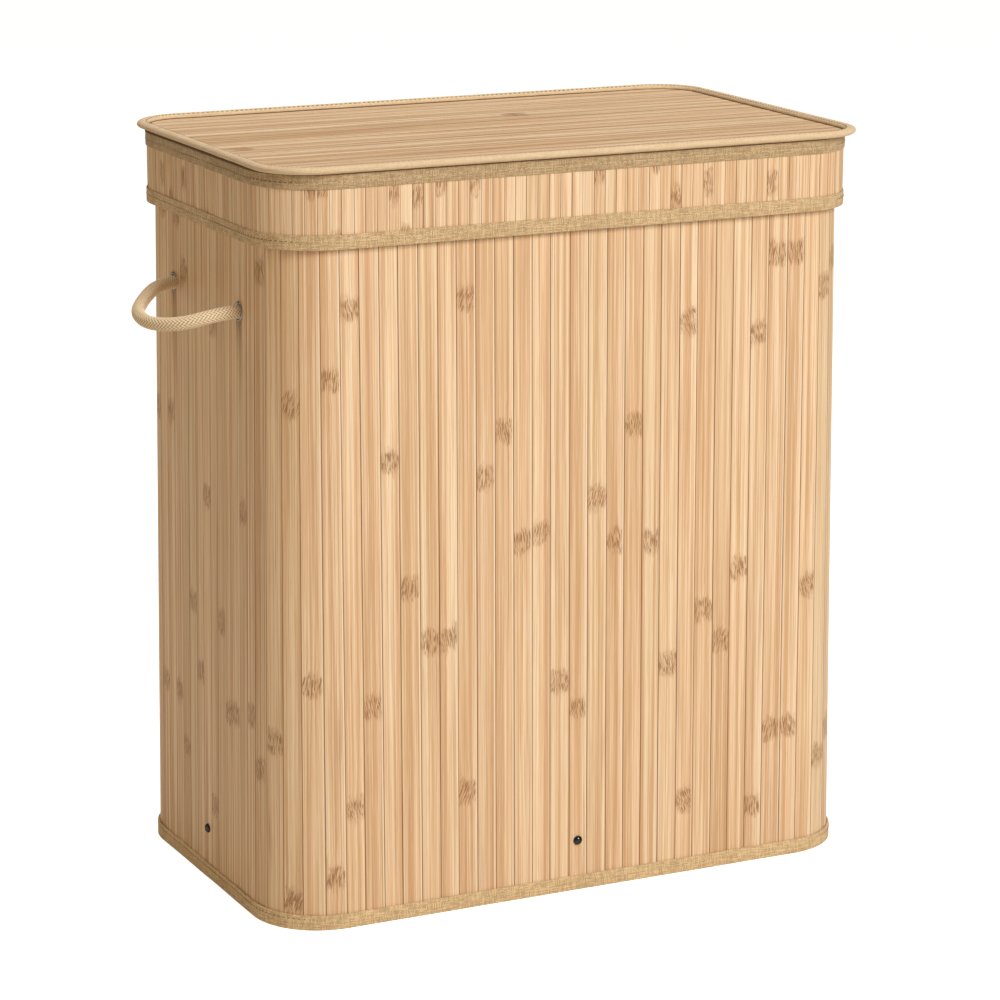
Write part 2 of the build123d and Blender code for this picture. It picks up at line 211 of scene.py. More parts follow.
def crisp(piece: bpy.types.Object) -> bpy.types.Object:
    """Shades a piece flat across every edge that turns by more than 24 degrees."""
    piece.data.set_sharp_from_angle(angle=math.radians(24))
    return piece


@dataclass(frozen=True)
class RoundedWall:
    """A wall bent round a rounded rectangle, which may flare towards the floor.

    A place on it is an anchor on the rectangle of the corners' centres, plus a radius
    along the outward normal. The radius falls by slope for each metre of height.
    """

    flat_x: float
    flat_y: float
    radius: float
    slope: float = 0.0

    @property
    def length(self) -> float:
        """Distance once round at floor level."""
        return 2 * (self.flat_x + self.flat_y) + 2 * math.pi * self.radius

    def stations(self, s: np.ndarray) -> tuple[np.ndarray, np.ndarray]:
        """Anchors and normals at distances s, from the front's left end and towards +X.

        Args:
            s: Distances round the wall.

        Returns:
            Two arrays shaped like s with a last axis of 2.
        """
        bend = self.radius * math.pi / 2
        lengths = np.array([self.flat_x, bend, self.flat_y, bend] * 2)
        ends = np.cumsum(lengths)
        wrapped = np.mod(s, ends[-1])
        part = np.minimum(np.searchsorted(ends, wrapped, side="right"), 7)
        share = (wrapped - (ends - lengths)[part]) / lengths[part]
        turn, bent = part // 2, part % 2
        x, y = self.flat_x / 2, self.flat_y / 2
        start = np.array([(-x, -y), (x, -y), (x, y), (-x, y)])
        stop = np.roll(start, -1, 0)
        along = np.where(bent, 1.0, share)[..., None]
        anchor = start[turn] + (stop - start)[turn] * along
        angle = (turn - 1 + bent * share) * math.pi / 2
        return anchor, np.stack([np.cos(angle), np.sin(angle)], -1)

    def place(self, s: np.ndarray, out: np.ndarray, z: np.ndarray) -> np.ndarray:
        """Points on or off the wall.

        Args:
            s: Distances round it.
            out: Distances beyond its face.
            z: Heights.

        Returns:
            Array of points, shaped like s with a last axis of 3.
        """
        anchor, normal = self.stations(s)
        reach = (self.radius - self.slope * z + out)[..., None]
        return np.concatenate([anchor + normal * reach, np.broadcast_to(z, s.shape)[..., None]], -1)

    def ring(self, name: str, profile: np.ndarray, count: int = 420,
             wave: list[tuple[float, float, float]] | None = None) -> bpy.types.Object:
        """A closed profile of (out, height) carried round the wall.

        Args:
            name: The piece's name.
            profile: Array (points, 2).
            count: Stations round the wall.
            wave: Ripple that pushes the profile in and out.

        Returns:
            The ring.
        """
        s = np.linspace(0, self.length, count, endpoint=False)
        push = ripple(s, wave or [])
        s_grid, out = np.meshgrid(s, profile[:, 0], indexing="ij")
        z = np.broadcast_to(profile[:, 1], s_grid.shape)
        points = self.place(s_grid, out + push[:, None], z)
        step = np.linalg.norm(np.diff(profile, axis=0, append=profile[:1]), axis=1)
        across = np.concatenate([[0], np.cumsum(step)])
        u, v = np.meshgrid(np.append(s, self.length), across, indexing="ij")
        uv = np.stack([u, v], -1)[None]
        return surface(name, points[None], uv, close_rows=True, caps=Caps.NONE)


class StitchFace(Enum):
    """Which way a row of stitches faces."""

    SIDE = "side"
    TOP = "top"


@dataclass(frozen=True)
class StitchRow:
    """A row of sewn stitches that follows a wall."""

    pitch: float = 4.4 * MM
    length: float = 3.1 * MM
    thread: float = 0.32 * MM

    def sew(self, name: str, wall: RoundedWall, out: float, z: float,
            face: StitchFace = StitchFace.SIDE) -> bpy.types.Object:
        """Each stitch is a bead: its radius swells as 1 - t^4 from end to end, and its ends
        dip into the cloth as t^4, where t runs from -1 to 1 along it.

        Args:
            name: The piece's name.
            wall: The wall it follows.
            out: Place of the thread beyond the wall's face.
            z: Its height.
            face: Which way it faces.

        Returns:
            The stitches, one object.
        """
        count = int(wall.length / self.pitch)
        t = np.linspace(-1, 1, 6)
        turn = np.linspace(0, 2 * math.pi, 7)[:-1]
        middle = np.arange(count) * wall.length / count
        s = middle[:, None, None] + (t * self.length / 2)[None, :, None] + 0 * turn
        girth = self.thread * (1.02 - t**4)[None, :, None] ** 0.5
        dip = 1.3 * self.thread * (t**4)[None, :, None]
        lift, aside = girth * np.cos(turn) - dip, girth * np.sin(turn) + 0 * dip
        if face is StitchFace.SIDE:
            points = wall.place(s, out + lift, z + aside + 0 * s)
        else:
            points = wall.place(s, out + aside + 0 * s, z + lift + 0 * s)
        uv = np.zeros((count, len(t), len(turn) + 1, 2))
        uv[..., 0] = middle[:, None, None]
        _, normal = wall.stations(middle)
        return surface(name, points, uv, values={"front": np.clip(-normal[:, 1], 0, 1)})


@dataclass(frozen=True)
class SlatCut:
    """Cross-section of one bamboo slat: a shallow crown, eased front edges, a flat back."""

    thickness: float = 2.0 * MM
    ease: float = 0.16 * MM
    wide_ease: float = 0.75 * MM
    crown: float = 0.05 * MM

    def profile(self, width: np.ndarray, rng: np.random.Generator) -> tuple[np.ndarray, np.ndarray]:
        """Loop of (across, out) with out 0 at the face.

        The face rises as 1 - b^2 times the crown, where b runs -1 to 1 between the eased
        edges, each a quarter turn. An ease is the least one plus a chance share to the
        sixth power of the widest, so that a few edges are planed away and catch the light.

        Args:
            width: Slat widths, slats first.
            rng: Source of the eases.

        Returns:
            Across and out, each of the widths' shape plus a last axis.
        """
        face = np.linspace(-1, 1, 5)
        turn = np.radians([30, 60, 90])
        side = np.concatenate([face, [1, 1, 1, 1], [-1, -1, -1, -1]])
        over = np.concatenate([0 * face, np.sin(turn), [1], [-1], -np.sin(turn[::-1])])
        drop = np.concatenate([0 * face, np.cos(turn) - 1, [0], [0], np.cos(turn[::-1]) - 1])
        rise = np.concatenate([self.crown * (1 - face**2), np.zeros(8)])
        ends = self.ease + self.wide_ease * rng.uniform(0, 1, (2, *width.shape[:1])) ** 6
        ends = ends.reshape(2, *ends.shape[1:], *[1] * width.ndim)
        ease = np.where(side > 0, ends[1], ends[0])
        out = rise + ease * drop
        out[..., [8, 9]] = -self.thickness
        across = side * (width[..., None] / 2 - ease) + ease * over
        return across, np.broadcast_to(out, across.shape)


class Side(Enum):
    """Where a group of slats stands: its turn round the wall, or the corners."""

    FRONT = 0
    RIGHT = 1
    BACK = 2
    LEFT = 3
    CORNER = 4


@dataclass(frozen=True)
class SlatMat:
    """Upright slats side by side round a wall, flat ones on the flats, facets at the bends."""

    wall: RoundedWall
    bottom: float
    top: float
    front_count: int
    side_count: int
    corner_count: int
    gap: float
    jitter: float
    cut: SlatCut = SlatCut()

    def lay(self, name: str, side: Side, rng: np.random.Generator) -> bpy.types.Object:
        """Stands one group of slats.

        On a flat, slat i lies between two joints at even spacings, each moved a little by
        chance. At a bend it is a chord of the corner's circle: its face stands at the radius
        times the cosine of half its angle, and is twice the radius times the sine wide.

        Args:
            name: The piece's name.
            side: Which group.
            rng: Source of the small differences between slats.

        Returns:
            The slats, one object, with a tone and a seed for each.
        """
        z = np.linspace(self.bottom, self.top, 7)
        radius = self.wall.radius - self.wall.slope * z
        if side is Side.CORNER:
            count = 4 * self.corner_count
            edge = rng.normal(0, self.jitter / self.wall.radius, (4, self.corner_count + 1))
            edge[:, [0, -1]] = 0
            edge += np.linspace(0, math.pi / 2, self.corner_count + 1)
            edge += np.arange(4)[:, None] * math.pi / 2
            middle = ((edge[:, :-1] + edge[:, 1:]) / 2).reshape(-1)
            half = (np.diff(edge, axis=1) / 2).reshape(-1)
            normal = np.stack([np.cos(middle), np.sin(middle)], -1)
            signs = np.array([(1, 1), (-1, 1), (-1, -1), (1, -1)]).repeat(self.corner_count, 0)
            anchor = signs * np.array([self.wall.flat_x, self.wall.flat_y]) / 2
            reach = radius * np.cos(half)[:, None]
            width = 2 * radius * np.sin(half)[:, None]
        else:
            along_x = side in (Side.FRONT, Side.BACK)
            count = self.front_count if along_x else self.side_count
            span = self.wall.flat_x if along_x else self.wall.flat_y
            joint = np.linspace(-span / 2, span / 2, count + 1)
            joint[1:-1] += rng.normal(0, self.jitter, count - 1)
            angle = (side.value - 1) * math.pi / 2
            ahead = np.array([-math.sin(angle), math.cos(angle)])
            outward = np.array([math.cos(angle), math.sin(angle)])
            normal = np.broadcast_to(outward, (count, 2))
            depth = (self.wall.flat_y if along_x else self.wall.flat_x) / 2
            anchor = (joint[:-1] + joint[1:])[:, None] / 2 * ahead + outward * depth
            reach = np.broadcast_to(radius, (count, len(z)))
            width = np.broadcast_to(np.diff(joint)[:, None], (count, len(z)))
        gap = self.gap * rng.uniform(0.6, 1.5, (count, 1))
        across, out = self.cut.profile(width - gap, rng)
        bow = rng.normal(0, 1, (count, 3, 1))
        t = np.linspace(-1, 1, len(z))
        sway = 0.02 * MM * (bow[:, 0] * (1 - t**2) + bow[:, 1] * np.sin(3 * t))
        stand = 0.09 * MM * bow[:, 2] * np.cos(2.2 * t) - 0.05 * MM * np.abs(bow[:, 0])
        across = across + sway[..., None]
        reach = (reach + stand)[..., None] + out
        tangent = np.stack([-normal[:, 1], normal[:, 0]], -1)
        flat = (anchor[:, None, None] + normal[:, None, None] * reach[..., None]
                + tangent[:, None, None] * across[..., None])
        tall = np.broadcast_to(z[None, :, None], across.shape)
        points = np.concatenate([flat, tall[..., None]], -1)
        v = tall + rng.uniform(0, 40, (count, 1, 1))
        even = width.mean(1)
        uv = np.stack([across * (even[:, None] / width)[..., None], v], -1)
        uv = np.concatenate([uv, uv[:, :, :1]], 2)
        spread = 0.75 if side in (Side.FRONT, Side.BACK) else 1.0
        marks = {"tone": 0.5 + spread * (rng.uniform(0, 1, count) - 0.5),
                 "seed": rng.uniform(0, 50, count), "half": even / 2}
        return crisp(surface(name, points, uv, values=marks))


def turned(name: str, profile: list[tuple[float, float]],
           places: list[tuple[Vector, Vector]], steps: int = 40) -> bpy.types.Object:
    """A closed profile of (radius, height) turned about an axis at each place.

    A point at angle a stands at height along the axis and at radius times cos a and sin a
    along two directions square to it.

    Args:
        name: The piece's name.
        profile: Loop of (radius, height), in millimetres.
        places: Pairs of a middle point and an axis.
        steps: Points round the axis.

    Returns:
        The turned pieces, one object.
    """
    loop = np.array(profile) * MM
    angle = np.linspace(0, 2 * math.pi, steps, endpoint=False)
    grids = []
    for middle, axis in places:
        rise = np.array(axis.normalized())
        level = np.cross(rise, (0, 0, 1))
        level /= np.linalg.norm(level)
        other = np.cross(rise, level)
        round_ = np.cos(angle)[:, None] * level + np.sin(angle)[:, None] * other
        grids.append(np.array(middle) + round_[:, None] * loop[None, :, :1]
                     + rise * loop[None, :, 1:])
    step = np.linalg.norm(np.diff(loop, axis=0, append=loop[:1]), axis=1)
    v = np.concatenate([[0], np.cumsum(step)])
    u = np.linspace(0, 2 * math.pi, steps + 1) * loop[:, 0].max()
    uv = np.stack(np.meshgrid(u, v, indexing="ij"), -1)
    uv = np.broadcast_to(uv, (len(places), *uv.shape))
    return surface(name, np.array(grids), uv, close_rows=True, caps=Caps.NONE)


# ------------------------------------------------------------------ material making


Value = float | tuple | bpy.types.NodeSocket
Sockets = bpy.types.bpy_prop_collection


def add_node(tree: bpy.types.NodeTree, kind: str, inputs: dict | None = None,
             **settings: object) -> bpy.types.Node:
    """Adds a shader node, sets its properties and feeds its inputs.

    Args:
        tree: Where it goes.
        kind: The node's type, without its ShaderNode prefix.
        inputs: Values or output sockets by input name or number.
        settings: Properties of the node.

    Returns:
        The node.
    """
    node = tree.nodes.new("ShaderNode" + kind)
    for key, value in settings.items():
        setattr(node, key, value)
    for key, value in (inputs or {}).items():
        if isinstance(value, bpy.types.NodeSocket):
            tree.links.new(value, node.inputs[key])
        else:
            node.inputs[key].default_value = value
    return node


def maths(tree: bpy.types.NodeTree, operation: str, *inputs: Value) -> bpy.types.NodeSocket:
    """One Math node's answer."""
    return add_node(tree, "Math", dict(enumerate(inputs)), operation=operation).outputs[0]


def remap(tree: bpy.types.NodeTree, value: Value, low: float, high: float,
          to_low: float = 0.0, to_high: float = 1.0) -> bpy.types.NodeSocket:
    """A value carried from one range to another and held within it."""
    inputs = {0: value, 1: low, 2: high, 3: to_low, 4: to_high}
    return add_node(tree, "MapRange", inputs, interpolation_type="SMOOTHSTEP").outputs[0]


def blend_colour(tree: bpy.types.NodeTree, share: Value, first: Value, second: Value,
                 kind: str = "MIX") -> bpy.types.NodeSocket:
    """Two colours mixed by a share."""
    inputs = {"Factor": share, 6: first, 7: second}
    return add_node(tree, "Mix", inputs, data_type="RGBA", blend_type=kind).outputs[2]


def noise(tree: bpy.types.NodeTree, at: Value, scale: tuple, detail: float = 2.0,
          rough: float = 0.5) -> bpy.types.NodeSocket:
    """Noise over a stretched vector.

    Args:
        tree: Where the nodes go.
        at: The vector.
        scale: How much it is stretched along each axis.
        detail: Octaves added to the first.
        rough: Share that each octave keeps.

    Returns:
        The noise.
    """
    stretched = add_node(tree, "VectorMath", {0: at, 1: scale}, operation="MULTIPLY").outputs[0]
    inputs = {"Vector": stretched, "Scale": 1.0, "Detail": detail, "Roughness": rough}
    return add_node(tree, "TexNoise", inputs).outputs[0]


def shared_group(name: str, takes: dict[str, float | tuple],
                 gives: dict[str, str]) -> tuple[bpy.types.NodeTree, Sockets, Sockets]:
    """Starts a node group with named sockets.

    Args:
        name: The group's name.
        takes: Inputs with their defaults, a number or a vector.
        gives: Outputs with their kind, Float or Color or Vector.

    Returns:
        The group's tree, the sockets that it takes and the sockets that it gives.
    """
    tree = bpy.data.node_groups.new(name, "ShaderNodeTree")
    for key, value in takes.items():
        kind = "NodeSocketVector" if isinstance(value, tuple) else "NodeSocketFloat"
        socket = tree.interface.new_socket(name=key, in_out="INPUT", socket_type=kind)
        socket.default_value = value
    for key, kind in gives.items():
        tree.interface.new_socket(name=key, in_out="OUTPUT", socket_type="NodeSocket" + kind)
    return tree, tree.nodes.new("NodeGroupInput").outputs, tree.nodes.new("NodeGroupOutput").inputs


def bamboo_fibre_group() -> bpy.types.NodeTree:
    """Fibres along a slat: fine threads, streaks, broad bands, thin dark lines and knuckles.

    A place is (across, along, seed). A knuckle comes once every spacing along the slat. It
    is a patch of short flecks about as tall as the slat is wide, and the fibres near it curl.

    Returns:
        The shared group.
    """
    tree, take, give = shared_group(
        "Bamboo fibre", {"Place": (0.0, 0.0, 0.0), "Spacing": 0.38, "Half width": 0.0085},
        {"Threads": "Float", "Streaks": "Float", "Bands": "Float", "Lines": "Float",
         "Knuckle": "Float", "Flecks": "Float"})
    place = take["Place"]
    parts = add_node(tree, "SeparateXYZ", {0: place}).outputs
    spaced = maths(tree, "DIVIDE", parts[1], take["Spacing"])
    cell = maths(tree, "SUBTRACT", maths(tree, "FRACT", spaced), 0.5)
    along = maths(tree, "MULTIPLY", cell, take["Spacing"])
    far = maths(tree, "ABSOLUTE", along)
    wander = maths(tree, "MULTIPLY_ADD", noise(tree, place, (170, 90, 1), 2.0), 0.016, far)
    aside = maths(tree, "DIVIDE", parts[0], take["Half width"])
    lean = noise(tree, place, (8, 0.3, 3), 0.0)
    middle = maths(tree, "SUBTRACT", lean, 0.5)
    off = maths(tree, "ABSOLUTE", maths(tree, "SUBTRACT", aside, middle))
    reach = maths(tree, "MULTIPLY_ADD", maths(tree, "POWER", off, 2.0), 0.003, wander)
    patch = remap(tree, reach, 0.012, 0.024, 1.0, 0.0)
    near = remap(tree, far, 0.004, 0.055, 1.0, 0.0)
    bend = noise(tree, place, (45, 9, 1), 1.0)
    swirl = maths(tree, "SUBTRACT", noise(tree, place, (190, 60, 1), 1.0), 0.5)
    curl = maths(tree, "MULTIPLY", swirl, near)
    bent = maths(tree, "MULTIPLY_ADD", bend, 0.0005, parts[0])
    shifted = maths(tree, "MULTIPLY_ADD", curl, 0.0022, bent)
    at = add_node(tree, "CombineXYZ", {0: shifted, 1: parts[1], 2: parts[2]}).outputs[0]
    tree.links.new(noise(tree, at, (1700, 10, 1), 3.0, 0.75), give["Threads"])
    tree.links.new(noise(tree, at, (760, 3.4, 1.7), 2.0, 0.65), give["Streaks"])
    tree.links.new(noise(tree, at, (190, 1.1, 1), 2.0, 0.6), give["Bands"])
    ridge = noise(tree, at, (560, 1.3, 1.3), 1.0, 0.4)
    away = maths(tree, "ABSOLUTE", maths(tree, "SUBTRACT", ridge, 0.5))
    thin = remap(tree, away, 0.0, 0.03, 1.0, 0.0)
    faint = remap(tree, noise(tree, at, (90, 2.6, 2), 1.0), 0.46, 0.7)
    tree.links.new(maths(tree, "MULTIPLY", thin, faint), give["Lines"])
    tree.links.new(patch, give["Knuckle"])
    slant = maths(tree, "MULTIPLY_ADD", along, middle, shifted)
    dash = add_node(tree, "CombineXYZ", {0: slant, 1: parts[1], 2: parts[2]}).outputs[0]
    fleck = remap(tree, noise(tree, dash, (1500, 130, 2), 1.0, 0.5), 0.47, 0.58)
    tree.links.new(maths(tree, "MULTIPLY", fleck, patch), give["Flecks"])
    return tree


def weave_group() -> bpy.types.NodeTree:
    """Plain weave over a (u, v) place in metres: threads cross at a pitch, the upper one
    changing from cell to cell, with slubs along both ways.

    Returns:
        The shared group.
    """
    tree, take, give = shared_group(
        "Plain weave", {"Place": (0.0, 0.0, 0.0), "Pitch": 0.0009, "Slub": 1.0},
        {"Height": "Float", "Shade": "Float", "Hole": "Float"})
    wobble = add_node(tree, "TexNoise", {"Vector": take["Place"], "Scale": 260.0, "Detail": 1.0})
    push = add_node(tree, "VectorMath", {0: wobble.outputs[1], 1: (0.0004, 0.0004, 0.0)},
                    operation="MULTIPLY").outputs[0]
    moved = add_node(tree, "VectorMath", {0: take["Place"], 1: push}, operation="ADD").outputs[0]
    parts = add_node(tree, "SeparateXYZ", {0: moved}).outputs
    cells = [maths(tree, "DIVIDE", parts[axis], take["Pitch"]) for axis in (0, 1)]
    arches, lines = [], []
    for cell in cells:
        wave = maths(tree, "SINE", maths(tree, "MULTIPLY", cell, math.pi))
        arches.append(maths(tree, "ABSOLUTE", wave))
        lines.append(maths(tree, "FLOOR", cell))
    total = maths(tree, "ADD", *lines)
    parity = maths(tree, "ABSOLUTE", maths(tree, "MODULO", total, 2.0))
    upper = maths(tree, "MULTIPLY", arches[1], maths(tree, "MULTIPLY_ADD", arches[0], 0.4, 0.6))
    lower = maths(tree, "MULTIPLY", arches[0], maths(tree, "MULTIPLY_ADD", arches[1], 0.4, 0.6))
    height = add_node(tree, "Mix", {"Factor": parity, 2: upper, 3: lower}).outputs[0]
    tree.links.new(height, give["Height"])
    tree.links.new(remap(tree, height, 0.1, 0.45, 1.0, 0.0), give["Hole"])
    tones = []
    for line, along, axis in ((lines[1], parts[0], 0), (lines[0], parts[1], 1)):
        reach = maths(tree, "MULTIPLY", along, 95.0 if axis == 0 else 140.0)
        at = add_node(tree, "CombineXYZ", {0: line, 1: reach, 2: 7.0 * axis}).outputs[0]
        inputs = {"Vector": at, "Scale": 0.9, "Detail": 1.0}
        tones.append(add_node(tree, "TexNoise", inputs).outputs[0])
    tone = add_node(tree, "Mix", {"Factor": parity, 2: tones[0], 3: tones[1]}).outputs[0]
    shade = maths(tree, "MULTIPLY", maths(tree, "SUBTRACT", tone, 0.5), take["Slub"])
    tree.links.new(maths(tree, "ADD", shade, 0.5), give["Shade"])
    return tree


def group_node(tree: bpy.types.NodeTree, group: bpy.types.NodeTree, inputs: dict) -> bpy.types.Node:
    """Places a shared group in a material, with its own values."""
    return add_node(tree, "Group", inputs, node_tree=group)


def new_material(name: str, roughness: float,
                 **plain: float) -> tuple[bpy.types.Material, bpy.types.NodeTree, Sockets]:
    """A material with its Principled shader.

    Args:
        name: The material's name.
        roughness: Its roughness, which a link may replace.
        plain: Other values set on the shader's own sockets, with _ for a space.

    Returns:
        The material, its tree and the shader's inputs.
    """
    material = bpy.data.materials.new(name)
    material.use_nodes = True
    tree = material.node_tree
    shader = tree.nodes["Principled BSDF"].inputs
    shader["Roughness"].default_value = roughness
    for key, value in plain.items():
        shader[key.replace("_", " ")].default_value = value
    return material, tree, shader


def bump(tree: bpy.types.NodeTree, shader: Sockets, height: Value, distance: float,
         strength: float = 1.0) -> None:
    """Feeds a height to the shader's normal."""
    inputs = {"Height": height, "Distance": distance, "Strength": strength}
    tree.links.new(add_node(tree, "Bump", inputs).outputs[0], shader["Normal"])


@dataclass(frozen=True)
class Bamboo:
    """Planed bamboo slats under a thin satin varnish."""

    name: str = "Bamboo slats"
    pale: tuple = (0.90, 0.655, 0.415, 1)
    honey: tuple = (0.77, 0.495, 0.27, 1)
    toasted: tuple = (0.56, 0.315, 0.148, 1)
    olive: tuple = (0.71, 0.515, 0.29, 1)
    # Pale fibre colour; it also paints the highlight along one slat edge.
    light: tuple = (1.0, 0.83, 0.60, 1)
    line: tuple = (0.31, 0.14, 0.05, 1)
    stripe: float = 0.4
    depth: float = 1.0
    joint: float = 0.92
    spacing: float = 0.41

    def make(self, fibre: bpy.types.NodeTree) -> bpy.types.Material:
        """Builds the material over each slat's own (across, along) and its seed and tone.

        Args:
            fibre: The shared fibre group.

        Returns:
            The material.
        """
        material, tree, shader = new_material(self.name, 0.42, Coat_Weight=0.1, Coat_Roughness=0.35)
        flat = add_node(tree, "SeparateXYZ", {0: add_node(tree, "UVMap").outputs[0]}).outputs
        seed = add_node(tree, "Attribute", None, attribute_name="seed").outputs["Fac"]
        tone = add_node(tree, "Attribute", None, attribute_name="tone").outputs["Fac"]
        place = add_node(tree, "CombineXYZ", {0: flat[0], 1: flat[1], 2: seed}).outputs[0]
        half = add_node(tree, "Attribute", None, attribute_name="half").outputs["Fac"]
        sizes = {"Place": place, "Spacing": self.spacing, "Half width": half}
        fibres = group_node(tree, fibre, sizes).outputs
        colour = blend_colour(tree, remap(tree, fibres["Bands"], 0.38, 0.62), self.pale, self.honey)
        warm = remap(tree, tone, 0.5, 1.0, 0.0, 0.46)
        colour = blend_colour(tree, warm, colour, self.toasted)
        cool = remap(tree, tone, 0.4, 0.0, 0.0, 0.62)
        colour = blend_colour(tree, cool, colour, self.olive)
        steps = (
            ("Bands", 0.51, 0.6, self.stripe, self.toasted),
            ("Bands", 0.46, 0.4, self.stripe / 2, self.light),
            ("Streaks", 0.46, 0.3, 0.5, self.light), ("Streaks", 0.52, 0.7, 0.6, self.toasted),
            ("Threads", 0.46, 0.3, 0.55, self.light), ("Threads", 0.5, 0.68, 0.65, self.toasted),
            ("Lines", 0.0, 1.0, 0.5, self.line), ("Knuckle", 0.0, 1.0, 0.32, self.toasted),
            ("Flecks", 0.0, 1.0, 0.8, self.line))
        for mask, low, high, most, ink in steps:
            share = remap(tree, fibres[mask], low, high, 0.0, min(1.0, most * self.depth))
            colour = blend_colour(tree, share, colour, ink)
        out = maths(tree, "DIVIDE", flat[0], half)
        # Painted highlight: a pale line painted along one edge of the lighter-toned slats, where
        # light would catch an eased edge.
        edge_highlight_mask = remap(tree, out, 0.8, 0.86, 0.0, 0.75)
        planed = maths(tree, "MULTIPLY", edge_highlight_mask, remap(tree, tone, 0.35, 0.6))
        colour = blend_colour(tree, planed, colour, self.light)
        off = maths(tree, "ABSOLUTE", out)
        rim = remap(tree, off, self.joint, self.joint + 0.045, 0.0, 0.76)
        colour = blend_colour(tree, rim, colour, self.line)
        tree.links.new(colour, shader["Base Color"])
        tree.links.new(remap(tree, fibres["Threads"], 0.3, 0.7, 0.36, 0.54), shader["Roughness"])
        relief = maths(tree, "MULTIPLY_ADD", fibres["Flecks"], -0.5, fibres["Threads"])
        bump(tree, shader, relief, 0.00025, 0.6)
        return material


@dataclass(frozen=True)
class WovenCloth:
    """Plain-woven cloth of one fibre, read over the piece's own (u, v)."""

    name: str
    colour: tuple
    shadow: tuple
    pitch: float
    slub: float = 1.0
    relief: float = 0.00022
    hole: float = 0.45
    spread: float = 0.5

    def make(self, weave: bpy.types.NodeTree) -> bpy.types.Material:
        """Builds the material.

        Args:
            weave: The shared weave group.

        Returns:
            The material.
        """
        material, tree, shader = new_material(
            self.name, 0.86, Sheen_Weight=0.18, Sheen_Roughness=0.5)
        place = add_node(tree, "UVMap").outputs[0]
        sizes = {"Place": place, "Pitch": self.pitch, "Slub": self.slub}
        threads = group_node(tree, weave, sizes).outputs
        light = tuple(min(1.0, c * 1.28) for c in self.colour[:3]) + (1,)
        share = remap(tree, threads["Shade"], 0.5 - self.spread / 2, 0.5 + self.spread / 2)
        colour = blend_colour(tree, share, self.shadow, light)
        colour = blend_colour(tree, 0.45, colour, self.colour)
        hole = maths(tree, "MULTIPLY", threads["Hole"], self.hole)
        colour = blend_colour(tree, hole, colour, self.shadow)
        inputs = {"Vector": place, "Scale": 38.0, "Detail": 3.0}
        broad = add_node(tree, "TexNoise", inputs).outputs[0]
        colour = blend_colour(tree, remap(tree, broad, 0.35, 0.7, 0.0, 0.22), colour, self.shadow)
        tree.links.new(colour, shader["Base Color"])
        tree.links.new(remap(tree, threads["Shade"], 0.2, 0.8, 0.92, 0.78), shader["Roughness"])
        bump(tree, shader, threads["Height"], self.relief, 0.8)
        return material


@dataclass(frozen=True)
class PlainFinish:
    """A finish that needs only mottling: metal, board, felt or thread."""

    name: str
    colour: tuple
    mottled: tuple
    roughness: float
    scale: float = 400.0
    metallic: float = 0.0
    relief: float = 0.00003

    def make(self) -> bpy.types.Material:
        """Mixes two colours by noise over Object coordinates.

        Returns:
            The material.
        """
        material, tree, shader = new_material(self.name, self.roughness, Metallic=self.metallic)
        at = add_node(tree, "TexCoord").outputs["Object"]
        inputs = {"Vector": at, "Scale": self.scale, "Detail": 4.0}
        grain = add_node(tree, "TexNoise", inputs).outputs[0]
        share = remap(tree, grain, 0.35, 0.65)
        tree.links.new(blend_colour(tree, share, self.colour, self.mottled), shader["Base Color"])
        rough = remap(tree, grain, 0.3, 0.7, self.roughness * 0.85, min(1.0, self.roughness * 1.15))
        tree.links.new(rough, shader["Roughness"])
        bump(tree, shader, grain, self.relief)
        return material


@dataclass(frozen=True)
class BraidedCotton:
    """Braided cotton cord: pale strands, with painted shade darkening the valleys between them."""

    name: str = "Braided cotton"
    strand: tuple = (0.95, 0.78, 0.53, 1)
    valley_shade: tuple = (0.34, 0.20, 0.085, 1)

    def make(self) -> bpy.types.Material:
        """Builds the material over the cord's relief attribute and its own (u, v).

        Returns:
            The material.
        """
        material, tree, shader = new_material(
            self.name, 0.8, Sheen_Weight=0.25, Sheen_Roughness=0.4)
        relief = add_node(tree, "Attribute", None, attribute_name="relief").outputs["Fac"]
        place = add_node(tree, "UVMap").outputs[0]
        fluff = noise(tree, place, (5200, 900, 1), 2.0, 0.6)
        # Painted shade: the cord is darker where its relief is low, in the valleys between strands.
        colour = blend_colour(tree, remap(tree, relief, 0.05, 0.8), self.valley_shade, self.strand)
        colour = blend_colour(tree, remap(tree, fluff, 0.4, 0.75, 0.0, 0.18), colour, self.valley_shade)
        tree.links.new(colour, shader["Base Color"])
        tree.links.new(remap(tree, relief, 0.0, 1.0, 0.92, 0.72), shader["Roughness"])
        bump(tree, shader, fluff, 0.0001, 0.6)
        return material


@dataclass(frozen=True)
class ThreadShadedOffFront:
    """Sewing thread of one pale colour, with painted shade darkening the stitches that do not face
    the front.
    """

    name: str = "Sewing thread"
    pale: tuple = (0.80, 0.62, 0.37, 1)
    dark: tuple = (0.17, 0.095, 0.04, 1)

    def make(self) -> bpy.types.Material:
        """Builds the material over each stitch's front value.

        Returns:
            The material.
        """
        material, tree, shader = new_material(self.name, 0.72)
        front = add_node(tree, "Attribute", None, attribute_name="front").outputs["Fac"]
        at = add_node(tree, "TexCoord").outputs["Object"]
        inputs = {"Vector": at, "Scale": 900.0, "Detail": 2.0}
        grain = add_node(tree, "TexNoise", inputs).outputs[0]
        # Painted shade: stitches that do not face the front are painted dark.
        facing = remap(tree, front, 0.75, 0.98)
        share = maths(tree, "MULTIPLY", facing, remap(tree, grain, 0.2, 0.5))
        tree.links.new(blend_colour(tree, share, self.dark, self.pale), shader["Base Color"])
        bump(tree, shader, grain, 0.00005)
        return material


